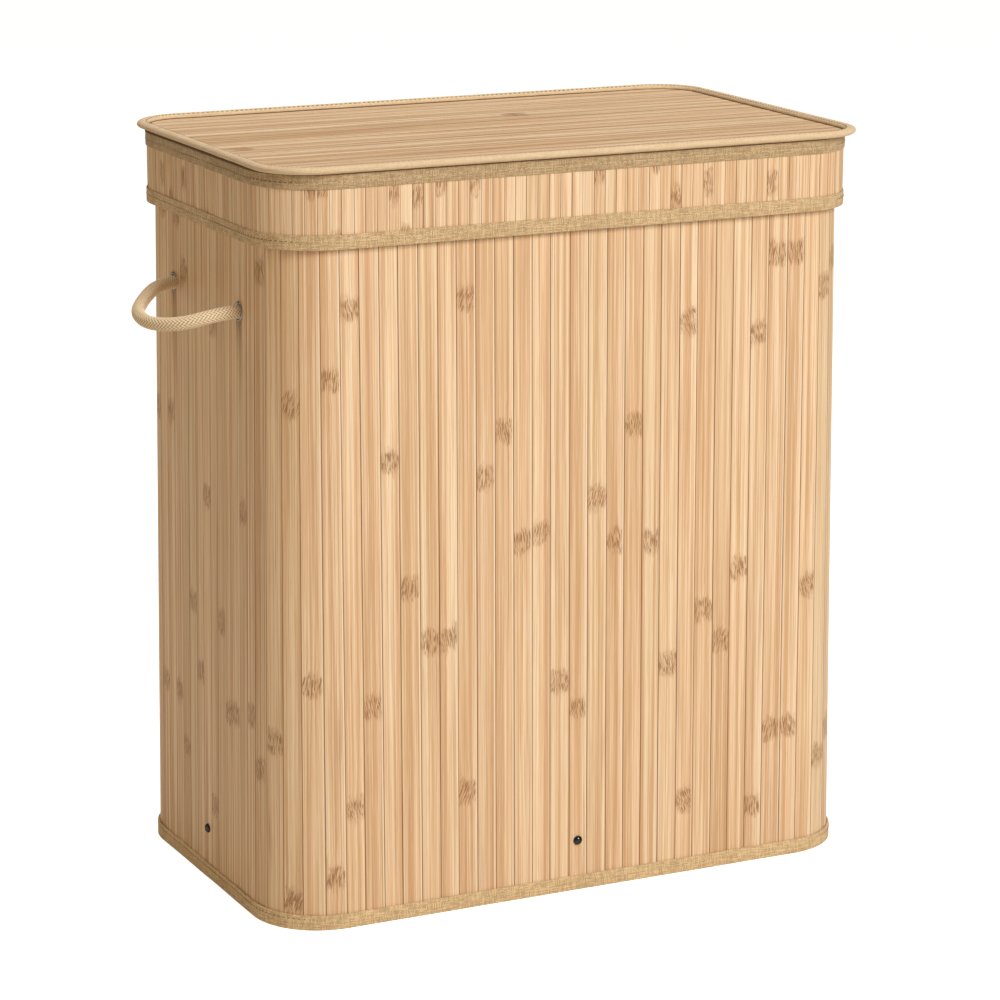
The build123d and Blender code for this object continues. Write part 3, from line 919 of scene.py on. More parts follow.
class Wardrobe:
    """Every finish of the hamper, each made once."""

    def __init__(self) -> None:
        """Builds the shared groups and the materials."""
        fibre, weave = bamboo_fibre_group(), weave_group()
        self.bamboo = Bamboo().make(fibre)
        self.skirt_bamboo = Bamboo("Narrow bamboo slats", spacing=0.45).make(fibre)
        self.top_bamboo = Bamboo(
            "Lid slats", stripe=0.95, depth=1.6, joint=0.86, spacing=2.3).make(fibre)
        # Painted light and shade: one linen is made three times at different brightness, lighter
        # for the base and lower bands and darker for the upper band in the piping's shade.
        linen = {"Base": 1.36, "Lower": 1.18, "Upper": 0.94}
        self.base_band, self.lower_band, self.upper_band = (
            WovenCloth(f"{name} linen band", (0.60 * light, 0.435 * light, 0.245 * light, 1),
                       (0.32 * light, 0.205 * light, 0.09 * light, 1), 0.00105,
                       slub=1.6, spread=0.36).make(weave) for name, light in linen.items())
        self.piping = WovenCloth(
            "Cotton piping", (0.77, 0.59, 0.38, 1), (0.52, 0.36, 0.19, 1), 0.0007,
            slub=0.7, relief=0.00012, hole=0.25).make(weave)
        self.backing = PlainFinish(
            "Backing cloth", (0.60, 0.43, 0.25, 1), (0.47, 0.32, 0.17, 1), 0.92, 900.0).make()
        self.liner = WovenCloth(
            "Liner cotton", (0.80, 0.74, 0.62, 1), (0.62, 0.55, 0.43, 1), 0.0007,
            slub=0.6, relief=0.00012, hole=0.25).make(weave)
        self.lining = PlainFinish(
            "Lining cloth", (0.66, 0.58, 0.44, 1), (0.55, 0.47, 0.34, 1), 0.92, 1200.0).make()
        self.webbing = PlainFinish(
            "Cotton webbing", (0.72, 0.65, 0.52, 1), (0.6, 0.52, 0.39, 1), 0.88, 1500.0,
            relief=0.0002).make()
        self.loops = PlainFinish(
            "Loop tape", (0.75, 0.72, 0.66, 1), (0.6, 0.57, 0.5, 1), 0.95, 2600.0,
            relief=0.0004).make()
        self.rope = BraidedCotton().make()
        self.pale_thread = PlainFinish(
            "Pale thread", (0.80, 0.66, 0.45, 1), (0.66, 0.52, 0.33, 1), 0.7, 1800.0).make()
        # Brown thread for the rim's stitches; it also dresses the dark strips of painted shade at
        # the lid's rim.
        self.brown_thread_and_shade = PlainFinish(
            "Brown thread", (0.20, 0.12, 0.055, 1), (0.12, 0.07, 0.03, 1), 0.75, 1800.0).make()
        self.thread = ThreadShadedOffFront().make()
        self.nickel = PlainFinish(
            "Black nickel", (0.075, 0.077, 0.082, 1), (0.05, 0.05, 0.055, 1), 0.11, 300.0,
            metallic=1.0, relief=0.0).make()
        self.gunmetal = PlainFinish(
            "Gunmetal", (0.50, 0.49, 0.47, 1), (0.30, 0.29, 0.28, 1), 0.22, 700.0,
            metallic=1.0).make()
        self.wire = PlainFinish(
            "Drawn wire", (0.55, 0.55, 0.56, 1), (0.42, 0.42, 0.43, 1), 0.4, 900.0,
            metallic=1.0).make()
        self.board = PlainFinish(
            "Fibreboard", (0.42, 0.29, 0.17, 1), (0.33, 0.22, 0.12, 1), 0.85, 500.0).make()


def dress(piece: bpy.types.Object, material: bpy.types.Material) -> bpy.types.Object:
    """Gives a piece or a carried node one material.

    Args:
        piece: The piece or node.
        material: Its material.

    Returns:
        The piece or node.
    """
    piece.data.materials.clear()
    piece.data.materials.append(material)
    return piece


def dress_nodes(nodes: dict[str, bpy.types.Object],
                materials: dict[str, bpy.types.Material]) -> None:
    """Dresses carried nodes, which keep their own shape, by name."""
    for name, material in materials.items():
        dress(nodes[name], material)


def settle(piece: bpy.types.Object, body: str, slot: str, material: bpy.types.Material,
           *nodes: str) -> bpy.types.Object:
    """Dresses a new piece, rides it on its body and hides the nodes that it stands for.

    Args:
        piece: The piece.
        body: The body that carries it.
        slot: The name of its finish's slot; not used.
        material: Its material.
        nodes: The nodes that it stands for.

    Returns:
        The piece.
    """
    dress(piece, material)
    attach(piece, body)
    if nodes:
        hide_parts(*nodes)
    LOG.info("%s: %d faces on %s", piece.name, len(piece.data.polygons), body)
    return piece


# ------------------------------------------------------------------ sub-assemblies


@dataclass
class Body:
    """The hamper's wall, its edges, its base and the metal on it."""

    wall: RoundedWall
    rng: np.random.Generator
    finishes: Wardrobe
    nodes: dict[str, bpy.types.Object]
    wall_bottom: float = 1.0 * MM
    wall_top: float = 613.2 * MM
    base_band: float = 12.4 * MM
    base_proud: float = 2.0 * MM
    top_band: float = 18.0 * MM
    edge_rise: float = 4.0 * MM
    skin: float = 1.0 * MM
    thickness: float = 3.0 * MM
    screw_height: float = 43.0 * MM
    eyelet_height: float = 498.0 * MM
    eyelet_y: float = 72.0 * MM
    tape_x: float = 105.0 * MM
    tape_width: float = 30.0 * MM

    # Profiles of (radius, height) in millimetres: a screw's shank, an eyelet and its washer.
    SHANK = [(0.02, -11), (1.6, -11), (1.6, -0.2), (3.8, -0.1)]
    EYELET = [(8.0, 0.05), (7.95, 0.55), (7.6, 0.9), (7.0, 1.0), (6.4, 0.85), (5.95, 0.45),
              (5.75, -0.2), (5.75, -4.0), (6.6, -4.0), (6.65, 0.0)]
    WASHER = [(6.7, -3.0), (8.0, -3.0), (7.9, -3.7), (7.4, -4.0), (6.7, -4.0)]

    def build(self) -> None:
        """Builds and dresses the body."""
        self.slats()
        self.edges()
        self.seam_tape()
        self.metal()
        self.carried()

    def wall_place(self, side: Side, along: float, z: float) -> tuple[Vector, Vector]:
        """Finds a place on the slats' face.

        Args:
            side: Which flat it is on.
            along: How far from the flat's middle.
            z: Its height.

        Returns:
            The point and the face's outward normal there.
        """
        angle = (side.value - 1) * math.pi / 2
        outward = Vector((math.cos(angle), math.sin(angle), 0))
        ahead = Vector((-outward.y, outward.x, 0))
        flat = self.wall.flat_y if side in (Side.FRONT, Side.BACK) else self.wall.flat_x
        reach = flat / 2 + self.wall.radius - self.wall.slope * z
        lean = Vector((outward.x, outward.y, self.wall.slope)).normalized()
        return outward * reach + ahead * along + Vector((0, 0, z)), lean

    def eyelets(self, side: Side) -> list[tuple[Vector, Vector]]:
        """Places of one side's two eyelets."""
        return [self.wall_place(side, y, self.eyelet_height)
                for y in (-self.eyelet_y, self.eyelet_y)]

    def slats(self) -> None:
        """Stands the five groups of wall slats and bores the rope holes."""
        mat = SlatMat(self.wall, self.wall_bottom, self.wall_top, front_count=25, side_count=13,
                      corner_count=5, gap=0.16 * MM, jitter=0.30 * MM)
        for side in Side:
            name = side.name.lower()
            piece = mat.lay(f"{name}_slat_row", side, self.rng)
            if side in (Side.LEFT, Side.RIGHT):
                self.bore(piece, side)
            settle(piece, "hamper", "bamboo", self.finishes.bamboo, f"{name}_slats")

    def bore(self, piece: bpy.types.Object, side: Side) -> None:
        """Cuts a row's two rope holes with turned plugs.

        Args:
            piece: The row.
            side: Which side it stands on.
        """
        places = self.eyelets(side)
        plug = turned("plug", block(0.1, 6.7, -4.0, 4.0), places)
        cutter = piece.modifiers.new("Rope holes", "BOOLEAN")
        cutter.object, cutter.operation, cutter.solver = plug, "DIFFERENCE", "EXACT"
        bpy.context.view_layer.objects.active = piece
        with bpy.context.temp_override(object=piece, active_object=piece):
            bpy.ops.object.modifier_apply(modifier=cutter.name)
        bpy.data.objects.remove(plug)

    def edges(self) -> None:
        """Folds the two bindings over the wall's edges and sews them."""
        inner = -self.thickness - self.skin
        top = self.wall_top + self.edge_rise
        low = self.wall_bottom
        core = (0, -self.thickness)
        base = rounded_loop(fold_over(self.base_proud, inner, core, 0, low, self.base_band),
                            0.7 * MM, 4)
        wave = [(0.12 * MM, 0.31, 0.4), (0.09 * MM, 0.083, 1.9)]
        ring = self.wall.ring("base_binding_cloth", base, 560, wave)
        settle(ring, "hamper", "band_cloth", self.finishes.base_band, "base_binding")
        start, cap = top - self.top_band, top - self.skin
        over = rounded_loop([
            (self.skin, start), (self.skin, top), (inner, top), (inner, start),
            (-self.thickness, start), (-self.thickness, cap), (0, cap), (0, start)], 0.6 * MM, 4)
        ring = self.wall.ring("top_binding_cloth", over, 480)
        settle(ring, "hamper", "band_cloth", self.finishes.lower_band, "top_binding")
        rows = {"base_stitches": (self.base_proud + 0.06 * MM, self.base_band - 3.0 * MM),
                "top_stitches": (self.skin + 0.06 * MM, start + 3.0 * MM)}
        for name, (out, z) in rows.items():
            row = StitchRow().sew(name, self.wall, out, z)
            settle(row, "hamper", "band_cloth", self.finishes.thread)

    def seam_tape(self) -> None:
        """Lays the tape over the joint in the wall's back: its loop is eased at both edges,
        its middle stands proud as 1 - b^2, and it runs straight up the wall."""
        top = self.wall_top + self.edge_rise - self.top_band
        z = np.linspace(self.base_band, top, 60)[:, None]
        b = np.linspace(-1, 1, 15)
        out = 0.5 * MM + 0.3 * MM * (1 - b**6)
        across = np.concatenate([b, b[::-1]]) * self.tape_width / 2
        outs = np.concatenate([out, 0 * out])
        sway = 0.25 * MM * np.sin(z * 31)
        x = self.tape_x + across + sway
        reach = self.wall.flat_y / 2 + self.wall.radius - self.wall.slope * z + outs
        points = np.stack([x, reach, z + 0 * x], -1)[None]
        uv = np.stack([across + 0 * z, z + 0 * x], -1)
        uv = np.concatenate([uv, uv[:, :1]], 1)[None]
        tape = surface("back_seam_cloth", points, uv)
        settle(tape, "hamper", "band_cloth", self.finishes.lower_band, "back_seam_tape")

    def metal(self) -> None:
        """Turns the dome-head screws, eyelets and washers."""
        dome = [(4.0 * math.cos(a), 0.25 + 2.9 * math.sin(a))
                for a in np.radians(np.linspace(0, 89, 12))]
        places = [self.wall_place(side, 0, self.screw_height) for side in list(Side)[:4]]
        screws = turned("dome_screws", self.SHANK + dome, places, 48)
        settle(screws, "hamper", "bright_steel", self.finishes.nickel, "base_screws")
        for side in (Side.LEFT, Side.RIGHT):
            name = side.name.lower()
            places = self.eyelets(side)
            lips = turned(f"{name}_eyelet_lips", self.EYELET, places, 56)
            settle(lips, "hamper", "eyelet_metal", self.finishes.gunmetal, f"{name}_eyelets")
            rings = turned(f"{name}_eyelet_rings", self.WASHER, places, 56)
            settle(rings, "hamper", "eyelet_metal", self.finishes.gunmetal,
                   f"{name}_eyelet_washers")

    def carried(self) -> None:
        """Dresses the nodes that keep their own shape."""
        f = self.finishes
        dress_nodes(self.nodes, {
            "wall_backing": f.backing, "top_hoop": f.wire, "base_board": f.board,
            "base_cover": f.backing, "base_brackets": f.wire, "base_nuts": f.wire,
            "wall_tabs": f.loops})


@dataclass
class Lid:
    """The lift-off lid: a slatted top in a piped rim, over a slatted skirt."""

    wall: RoundedWall
    rim: RoundedWall
    rng: np.random.Generator
    finishes: Wardrobe
    nodes: dict[str, bpy.types.Object]
    bottom: float = 558.3 * MM
    lower_top: float = 570.1 * MM
    upper_bottom: float = 605.9 * MM
    skirt_top: float = 618.4 * MM
    rim_top: float = 624.2 * MM
    skin: float = 1.0 * MM
    thickness: float = 3.0 * MM
    piping_width: float = 8.5 * MM
    overhang: float = 1.0 * MM
    slat_count: int = 18
    margin: float = 0.7 * MM

    def build(self) -> None:
        """Builds and dresses the lid."""
        self.skirt()
        self.bands()
        self.top()
        self.piping()
        f = self.finishes
        dress_nodes(self.nodes, {"skirt_backing": f.backing, "lid_backing": f.backing,
                                 "lid_lining": f.lining, "lid_hoop": f.wire})

    def skirt(self) -> None:
        """Stands the skirt's narrow slats."""
        mat = SlatMat(self.wall, self.bottom + self.skin, self.skirt_top, front_count=42,
                      side_count=21, corner_count=9, gap=0.14 * MM, jitter=0.22 * MM,
                      cut=SlatCut(wide_ease=0.45 * MM, crown=0.03 * MM))
        for side in Side:
            name = side.name.lower()
            piece = mat.lay(f"skirt_{name}_slat_row", side, self.rng)
            settle(piece, "lid", "bamboo", self.finishes.skirt_bamboo, f"skirt_{name}_slats")

    def bands(self) -> None:
        """Folds the lower band over the skirt's edge, lays the upper one, and sews both."""
        inner, low = -self.thickness - self.skin, self.bottom + self.skin
        fold = rounded_loop(fold_over(self.skin, inner, (0, -self.thickness), self.bottom, low,
                                      self.lower_top), 0.6 * MM, 4)
        wave = [(0.10 * MM, 0.27, 1.1), (0.08 * MM, 0.071, 0.2)]
        settle(self.wall.ring("lower_band_cloth", fold, 560, wave), "lid", "band_cloth",
               self.finishes.lower_band, "skirt_lower_band")
        strip = rounded_loop([
            (self.skin, self.upper_bottom), (self.skin, self.skirt_top - 0.3 * MM),
            (0, self.skirt_top - 0.3 * MM), (0, self.upper_bottom)], 0.5 * MM, 4)
        settle(self.wall.ring("upper_band_cloth", strip, 560, wave), "lid", "band_cloth",
               self.finishes.upper_band, "skirt_upper_band")
        rows = {"lower_band_stitches": self.bottom + 6.8 * MM,
                "upper_band_stitches": self.upper_bottom + 5.4 * MM}
        for name, z in rows.items():
            row = StitchRow().sew(name, self.wall, self.skin + 0.04 * MM, z)
            settle(row, "lid", "band_cloth", self.finishes.thread)

    def top(self) -> None:
        """Lays the top's slats along X. At y a slat ends where the rounded outline is: the
        half width less the radius, plus the root of the radius squared less the depth into
        the corner squared."""
        radius = self.rim.radius - self.piping_width - self.margin
        half_y = self.rim.flat_y / 2 + radius
        joint = np.linspace(-half_y, half_y, self.slat_count + 1)
        joint[1:-1] += self.rng.normal(0, 0.25 * MM, self.slat_count - 1)
        middle = (joint[:-1] + joint[1:]) / 2
        width = np.diff(joint) - 0.4 * MM * self.rng.uniform(0.6, 1.4, self.slat_count)
        across, out = SlatCut(thickness=1.8 * MM).profile(width, self.rng)
        y = middle[:, None] + across
        into = np.clip(np.abs(y) - self.rim.flat_y / 2, 0, radius)
        end = self.rim.flat_x / 2 + np.sqrt(radius**2 - into**2)
        t = np.linspace(-1, 1, 9)
        x = end[:, None] * t[None, :, None]
        bow = self.rng.normal(0, 0.1 * MM, (self.slat_count, 1, 1)) * np.cos(2 * t)[None, :, None]
        face = self.skirt_top + 1.8 * MM - 0.05 * MM
        z = face + out[:, None] + bow + 0 * x
        points = np.stack([x, y[:, None] + 0 * x, z], -1)
        v = x + self.rng.uniform(0, 40, (self.slat_count, 1, 1))
        uv = np.stack([across[:, None] + 0 * x, v], -1)
        uv = np.concatenate([uv, uv[:, :, :1]], 2)
        marks = {"tone": self.rng.uniform(0, 1, self.slat_count),
                 "seed": self.rng.uniform(0, 50, self.slat_count), "half": np.diff(joint) / 2}
        settle(crisp(surface("lid_slat_row", points, uv, values=marks)), "lid", "bamboo",
               self.finishes.top_bamboo, "lid_slats")

    def piping(self) -> None:
        """Rolls the rim's piping: its section is an oval that stands out over the skirt's
        band, and its stitches lie on the oval near its inner edge. Dark brown strips of
        painted shade lie in the gap inside it and in the crease under it."""
        angle = np.linspace(0, 2 * math.pi, 28, endpoint=False)
        half = (self.piping_width + self.overhang) / 2
        middle, height = self.overhang - half, (self.skirt_top + self.rim_top) / 2
        tall = (self.rim_top - self.skirt_top) / 2
        section = np.stack([middle + half * np.cos(angle), height + tall * np.sin(angle)], -1)
        wave = [(0.14 * MM, 0.22, 0.3), (0.1 * MM, 0.061, 2.0)]
        settle(self.rim.ring("rim_piping", section, 640, wave), "lid", "piping_cloth",
               self.finishes.piping, "lid_piping")
        # Painted shade: a dark strip in the gap inside the piping, where shade falls.
        low, high = -self.piping_width - 0.9 * MM, -self.piping_width + 0.6 * MM
        gap = rounded_loop([(low, self.skirt_top), (high, self.skirt_top),
                            (high, self.skirt_top + 2.6 * MM),
                            (low, self.skirt_top + 2.1 * MM)], 0.3 * MM)
        settle(self.rim.ring("rim_gap_painted_shade", gap, 420), "lid", "piping_cloth",
               self.finishes.brown_thread_and_shade)
        # Painted shade: a dark strip in the crease under the piping.
        crease = rounded_loop(block(self.skin - 0.4 * MM, self.skin + 0.35 * MM,
                                    self.skirt_top - 1.3 * MM, self.skirt_top + 0.2 * MM),
                              0.25 * MM)
        settle(self.wall.ring("rim_crease_painted_shade", crease, 420), "lid", "piping_cloth",
               self.finishes.brown_thread_and_shade)
        inner = math.radians(128)
        row = StitchRow().sew("rim_stitches", self.rim, middle + half * math.cos(inner),
                              height + tall * math.sin(inner) + 0.05 * MM, StitchFace.TOP)
        settle(row, "lid", "piping_cloth", self.finishes.brown_thread_and_shade)


@dataclass
class Liner:
    """The removable cloth liner: a soft bag with a hem, tabs and two straps."""

    cuff: RoundedWall
    bag: RoundedWall
    rng: np.random.Generator
    finishes: Wardrobe
    nodes: dict[str, bpy.types.Object]
    floor: float = 10.6 * MM
    shoulder: float = 515.0 * MM
    cuff_bottom: float = 537.0 * MM
    top: float = 603.0 * MM

    def build(self) -> None:
        """Builds the bag and dresses the rest."""
        bag = self.sew_bag()
        settle(bag, "liner", "liner_cloth", self.finishes.liner, "liner_bag")
        self.hem()
        f = self.finishes
        dress_nodes(self.nodes, {"liner_tabs": f.loops, "liner_handles": f.webbing})

    def sew_bag(self) -> bpy.types.Object:
        """Hangs the bag as one sheet. Going down, the anchor and radius blend from the cuff's
        to the bag's; folds push the cloth inwards by a sum of waves that grows from nothing
        at the hem and fades at the floor; then the floor's rows shrink to its middle.

        Returns:
            The bag, one sheet with a thickness.
        """
        share = np.linspace(0, 1, 360, endpoint=False)
        z = np.concatenate([np.linspace(self.top, self.cuff_bottom, 8),
                            np.linspace(self.cuff_bottom, self.shoulder, 6)[1:],
                            np.linspace(self.shoulder, self.floor + 6 * MM, 40)[1:]])
        blend = np.clip((z - self.shoulder) / (self.cuff_bottom - self.shoulder), 0, 1)
        blend = (blend**2 * (3 - 2 * blend))[:, None]
        high, low = (wall.stations(share * wall.length) for wall in (self.cuff, self.bag))
        anchor, normal = (a[None] * blend[..., None] + b[None] * (1 - blend[..., None])
                          for a, b in zip(high, low))
        normal = unit(normal)
        radius = self.cuff.radius * blend + self.bag.radius * (1 - blend)
        depth = (self.top - z)[:, None]
        waves = 0
        for turns, height in ((7, 1.0), (11, 0.7), (17, 0.45), (29, 0.22)):
            phase, drift = self.rng.uniform(0, 6.28), self.rng.uniform(-3, 3)
            waves = waves + height * np.sin(2 * math.pi * turns * share + phase + drift * depth)
        folds = 2.1 * MM * (waves + 2.4) * np.clip(depth / 0.16, 0, 1) ** 1.5
        folds *= 1 - 0.6 * np.clip((depth - 0.45) / 0.14, 0, 1)
        sides = anchor + normal * (radius - np.clip(folds, 0, 9 * MM))[..., None]
        low = self.floor + 0.8 * MM * (1 + np.sin(9 * math.pi * share))[None]
        shrink = np.array([0.975, 0.9, 0.78, 0.62, 0.44, 0.26, 0.1, 0.02])[:, None]
        floor_flat = sides[-1][None] * shrink[..., None]
        wrinkle = low * shrink + self.floor * (1 - shrink)
        flat = np.concatenate([sides, floor_flat])
        tall = np.concatenate([np.broadcast_to(z[:, None], folds.shape), wrinkle])
        points = np.concatenate([flat, tall[..., None]], -1)[None]
        step = np.linalg.norm(np.diff(points[0], axis=0), axis=-1).mean(1)
        v = np.concatenate([[0], np.cumsum(step)])
        u = np.append(share, 1) * self.bag.length
        uv = np.stack(np.meshgrid(u, -v, indexing="ij"), -1).transpose(1, 0, 2)[None]
        bag = surface("liner_cloth_bag", points, uv, caps=Caps.LAST)
        thick = bag.modifiers.new("Cloth", "SOLIDIFY")
        thick.thickness, thick.offset = 1.0 * MM, -1.0
        return bag

    def hem(self) -> None:
        """Folds the hem over the liner's top edge."""
        skin, cloth, tall = 0.8 * MM, 1.2 * MM, 11.0 * MM
        top = self.top + 1.0 * MM
        loop = rounded_loop([
            (skin, top - tall), (skin, top), (-cloth - skin, top), (-cloth - skin, top - tall),
            (-cloth, top - tall), (-cloth, top - skin), (0, top - skin), (0, top - tall)],
            0.5 * MM, 3)
        settle(self.cuff.ring("liner_hem_cloth", loop, 420), "liner", "liner_cloth",
               self.finishes.liner, "liner_hem")
        row = StitchRow().sew("liner_hem_stitches", self.cuff, -cloth - skin - 0.05 * MM,
                              top - tall + 2.5 * MM)
        settle(row, "liner", "liner_cloth", self.finishes.pale_thread)


@dataclass
class RopeHandle:
    """One rope loop, its braid and its two stopper knots."""

    side: str
    facing: float
    finishes: Wardrobe
    radius: float = 5.6 * MM
    strands: int = 12
    cell: float = 3.2 * MM
    relief: float = 0.6 * MM

    # Route of the loop in metres, on the left side of the hamper.
    ROUTE = [
        (-0.2622, -0.0720, 0.4980),
        (-0.2850, -0.0790, 0.4980),
        (-0.3100, -0.0720, 0.4915),
        (-0.3270, -0.0460, 0.4885),
        (-0.3260, -0.0130, 0.4910),
        (-0.3090, 0.0180, 0.4950),
        (-0.2860, 0.0500, 0.4990),
        (-0.2622, 0.0710, 0.4980),
    ]
    # How far the rope goes on straight through each eyelet, to its knot.
    INSIDE = 0.0130
    # Places of the eyelets, and how far from the middle the knots sit.
    EYELET_Y, EYELET_Z, KNOT_X = 72.0 * MM, 498.0 * MM, 248.4 * MM
    # A knot's loop width, depth and strand radius.
    KNOT = (2.7 * MM, 4.6 * MM, 4.0 * MM)
    # Where the moving rope begins, and over how far it bends.
    BEND_X, BEND = 262.2 * MM, 12.0 * MM

    def line(self) -> np.ndarray:
        """Reads the rope's line from the route's NURBS spline.

        Returns:
            Evenly spaced points along it.
        """
        route = list(self.ROUTE)
        first, last = route[0], route[-1]
        route = [(first[0] + self.INSIDE, *first[1:]), *route, (last[0] + self.INSIDE, *last[1:])]
        curve = bpy.data.curves.new("route", "CURVE")
        curve.dimensions, curve.resolution_u = "3D", 40
        spline = curve.splines.new("NURBS")
        spline.points.add(len(route) - 1)
        for point, (x, y, z) in zip(spline.points, route):
            point.co = (x * self.facing, y * self.facing, z, 1)
        spline.order_u, spline.use_endpoint_u = 3, True
        holder = bpy.data.objects.new("route", curve)
        bpy.context.scene.collection.objects.link(holder)
        bpy.context.view_layer.update()
        shown = holder.evaluated_get(bpy.context.evaluated_depsgraph_get())
        mesh = bpy.data.meshes.new_from_object(shown)
        points = np.empty(len(mesh.vertices) * 3)
        mesh.vertices.foreach_get("co", points)
        bpy.data.objects.remove(holder)
        bpy.data.meshes.remove(mesh)
        points = points.reshape(-1, 3)
        far = run_length(points)
        even = np.linspace(0, far[-1], int(far[-1] / (self.cell / 8)))
        return np.stack([np.interp(even, far, points[:, axis]) for axis in range(3)], -1)

    def braid(self, line: np.ndarray) -> bpy.types.Object:
        """Braids the rope. Two families of strands wind opposite ways: a point's places in
        them are a and b, which rise with the angle and with plus or minus the distance. Where
        their whole parts add to 0 or 1 past a multiple of 4 the first family lies on top, as
        in a herringbone; the upper strand's height falls as the square of the distance from
        its middle.

        Args:
            line: Points along the rope.

        Returns:
            The rope as a tube with a relief attribute.
        """
        tangent = unit(np.gradient(line, axis=0))
        level = unit(np.cross(tangent, (0, 0, 1)))
        upward = np.cross(level, tangent)
        far = run_length(line)
        angle = np.linspace(0, 2 * math.pi, self.strands * 7, endpoint=False)
        turns, run = angle[None] / (2 * math.pi) * self.strands, far[:, None] / self.cell
        a, b = turns + run, turns - run
        even = np.mod(np.floor(a) + np.floor(b), 4) < 1.5
        own, other = np.where(even, a, b) % 1 * 2 - 1, np.where(even, b, a) % 1 * 2 - 1
        relief = (1 - own**2) * (1 - 0.45 * other**2)
        reach = (self.radius - self.relief * (1 - relief))[..., None]
        cosine, sine = np.cos(angle)[None, :, None], np.sin(angle)[None, :, None]
        ring = cosine * level[:, None] + sine * upward[:, None]
        points = (line[:, None] + ring * reach)[None]
        around = np.linspace(0, 2 * math.pi, len(angle) + 1) * self.radius
        u, v = np.meshgrid(far, around, indexing="ij")
        rope = surface(f"{self.side}_rope_loop", points, np.stack([v, u], -1)[None])
        point_values(rope, "relief", relief)
        return rope

    def knots(self) -> bpy.types.Object:
        """Ties the two stopper knots behind the eyelets: each is a trefoil, whose centreline
        is (2 + cos 3t) times (cos 2t, sin 2t) with sin 3t for its depth.

        Returns:
            Both knots, one object with a relief attribute.
        """
        t = np.linspace(0, 2 * math.pi, 120, endpoint=False)
        wide, deep, tube = self.KNOT
        line = np.stack([deep * np.sin(3 * t), wide * (2 + np.cos(3 * t)) * np.cos(2 * t),
                         wide * (2 + np.cos(3 * t)) * np.sin(2 * t)], -1)
        tangent = unit(np.roll(line, -1, 0) - np.roll(line, 1, 0))
        level = unit(np.cross(tangent, (1, 0, 0)))
        other = np.cross(tangent, level)
        angle = np.linspace(0, 2 * math.pi, 24, endpoint=False)
        cosine, sine = np.cos(angle)[None, :, None], np.sin(angle)[None, :, None]
        ring = cosine * level[:, None] + sine * other[:, None]
        around = 120 * MM
        far = np.arange(len(t)) / len(t) * around
        turns, run = angle[None] / (2 * math.pi) * 10, far[:, None] / self.cell
        twist = np.cos(2 * math.pi * (turns + run))
        knot = line[:, None] + ring * (tube - 0.25 * MM * (1 - twist))[..., None]
        grids = np.stack([knot + (-self.facing * self.KNOT_X, y, self.EYELET_Z)
                          for y in (-self.EYELET_Y, self.EYELET_Y)])
        girth = np.linspace(0, 25 * MM, len(angle) + 1)
        u, v = np.meshgrid(np.append(far, around), girth, indexing="ij")
        uv = np.broadcast_to(np.stack([v, u], -1), (2, *u.shape, 2))
        lumps = surface(f"{self.side}_stopper_knots", grids, uv, close_rows=True, caps=Caps.NONE)
        point_values(lumps, "relief", np.tile((0.5 + 0.5 * twist).ravel(), 2))
        return lumps

    def build(self) -> None:
        """Builds the loop and the knots."""
        line = self.line()
        rope = dress(self.braid(line), self.finishes.rope)
        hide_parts(f"{self.side}_handle_rope")
        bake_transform(rope)
        settle(self.knots(), "hamper", "rope", self.finishes.rope, f"{self.side}_rope_knots")


# ------------------------------------------------------------------ studio


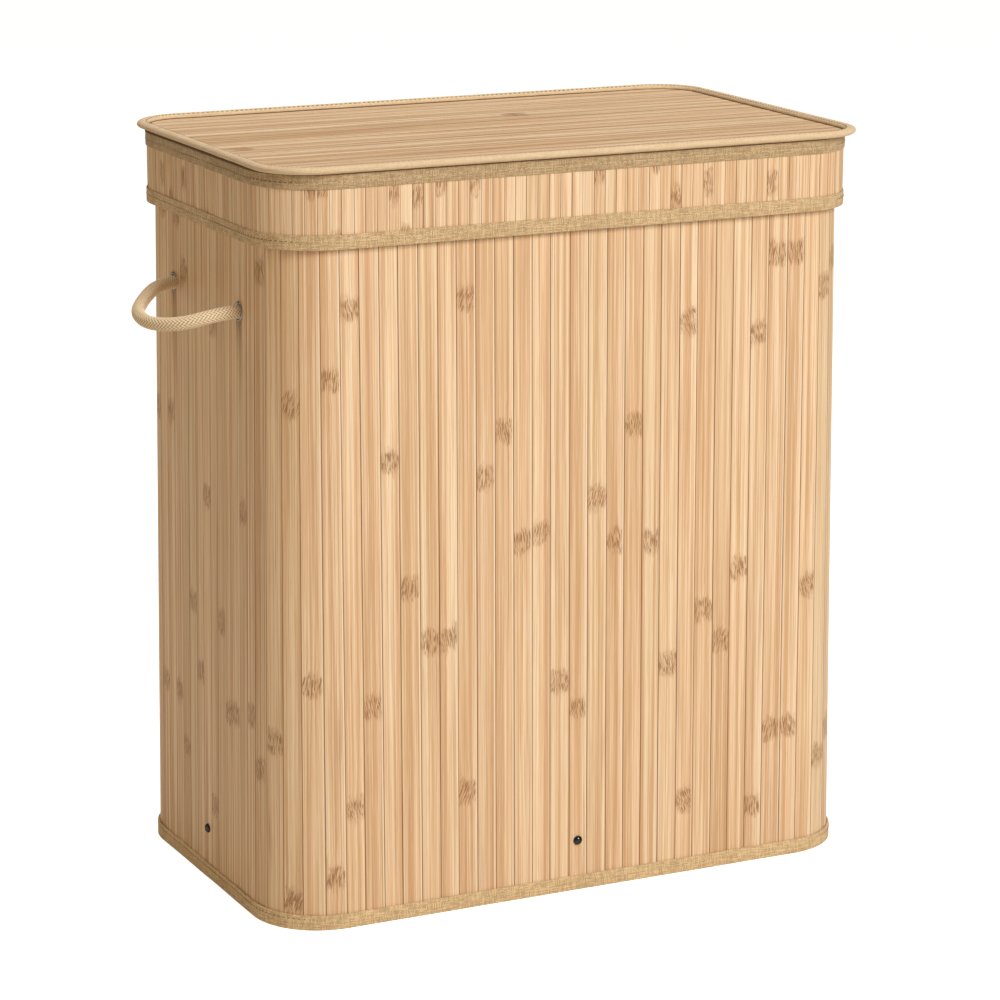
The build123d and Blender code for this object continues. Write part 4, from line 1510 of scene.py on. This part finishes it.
@dataclass(frozen=True)
class Studio:
    """Pale floor, soft lights and the camera."""

    place: tuple = (-1.307, -2.689, 1.048)
    turn: float = 26.02
    tilt: float = 14.06
    roll: float = 0.17
    lens: float = 129.5

    # Place, sides, power and colour of each light.
    LAMPS = {
        "key": ((1.1, -3.6, 2.5), (1.9, 1.9), 132.0, (1.0, 0.98, 0.96)),
        "top": ((0.0, 0.3, 3.2), (1.8, 1.8), 37.0, (1.0, 0.98, 0.96)),
        "side": ((-3.0, 0.1, 0.7), (1.4, 1.4), 8.4, (1.0, 0.76, 0.47)),
    }

    def build(self) -> None:
        """Sets up the floor, the lights and the camera."""
        scene = bpy.context.scene
        scene.view_settings.view_transform = "Standard"
        data = bpy.data.cameras.new("camera")
        data.lens, data.sensor_width, data.clip_end = self.lens, 36.0, 60.0
        camera = bpy.data.objects.new("camera", data)
        aim = (Matrix.Rotation(-math.radians(self.turn), 4, "Z")
               @ Matrix.Rotation(math.radians(90 - self.tilt), 4, "X")
               @ Matrix.Rotation(math.radians(self.roll), 4, "Z"))
        camera.matrix_world = Matrix.Translation(self.place) @ aim
        scene.collection.objects.link(camera)
        scene.camera = camera
        self.floor()
        for name, lamp in self.LAMPS.items():
            self.light(name, *lamp)
        world = bpy.data.worlds.new("studio air")
        scene.world = world
        world.use_nodes = True
        air = world.node_tree
        seen = add_node(air, "LightPath").outputs["Is Camera Ray"]
        shade = blend_colour(air, seen, (1.0, 0.84, 0.62, 1), (1, 1, 1, 1))
        background = air.nodes["Background"].inputs
        air.links.new(maths(air, "MULTIPLY_ADD", seen, 0.85, 0.22), background["Strength"])
        air.links.new(shade, background["Color"])

    @staticmethod
    def floor() -> None:
        """Lays the floor, which looks bright to the camera and lights the hamper softly."""
        side = 30.0
        x, y = np.meshgrid([-side, side], [-side, side])
        points = np.stack([x, y, 0 * x], -1)[None]
        floor = surface("floor", points, points[..., :2], close_columns=False, caps=Caps.NONE)
        material, tree, shader = new_material("Studio floor", 0.9)
        shader["Base Color"].default_value = (0.80, 0.77, 0.72, 1)
        shader["Emission Color"].default_value = (1, 1, 1, 1)
        seen = add_node(tree, "LightPath").outputs["Is Camera Ray"]
        tree.links.new(maths(tree, "MULTIPLY", seen, 0.86), shader["Emission Strength"])
        dress(floor, material)

    @staticmethod
    def light(name: str, place: tuple, size: tuple, power: float, colour: tuple) -> None:
        """Hangs a soft rectangular light that faces the hamper's middle.

        Args:
            name: The light's name.
            place: Where it hangs.
            size: Its sides.
            power: Its power in watts.
            colour: Its colour.
        """
        data = bpy.data.lights.new(name, "AREA")
        data.shape, data.size, data.size_y, data.energy = "RECTANGLE", *size, power
        data.color = colour
        lamp = bpy.data.objects.new(name, data)
        towards = Vector((0, 0, 0.35)) - Vector(place)
        turn = towards.to_track_quat("-Z", "Y").to_matrix().to_4x4()
        lamp.matrix_world = Matrix.Translation(place) @ turn
        bpy.context.scene.collection.objects.link(lamp)


def main(nodes: dict[str, bpy.types.Object]) -> None:
    """Builds the studio and the hamper's sub-assemblies.

    Args:
        nodes: The frame's nodes by name.
    """
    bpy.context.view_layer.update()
    Studio().build()
    finishes = Wardrobe()
    rng = np.random.default_rng(SEED)
    wall = RoundedWall(flat_x=0.420, flat_y=0.209, radius=0.0572, slope=0.012)
    Body(wall, rng, finishes, nodes).build()
    skirt = RoundedWall(flat_x=0.420, flat_y=0.209, radius=0.0566)
    rim = RoundedWall(flat_x=0.446, flat_y=0.244, radius=0.045)
    Lid(skirt, rim, rng, finishes, nodes).build()
    cuff = RoundedWall(flat_x=0.420, flat_y=0.209, radius=0.044)
    bag = RoundedWall(flat_x=0.392, flat_y=0.208, radius=0.040)
    Liner(cuff, bag, rng, finishes, nodes).build()
    for side, facing in (("left", 1.0), ("right", -1.0)):
        RopeHandle(side, facing, finishes).build()


if __name__ == "__main__":
    logging.basicConfig(level=logging.INFO, format="%(message)s")
    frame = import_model()
    main(frame["nodes"])
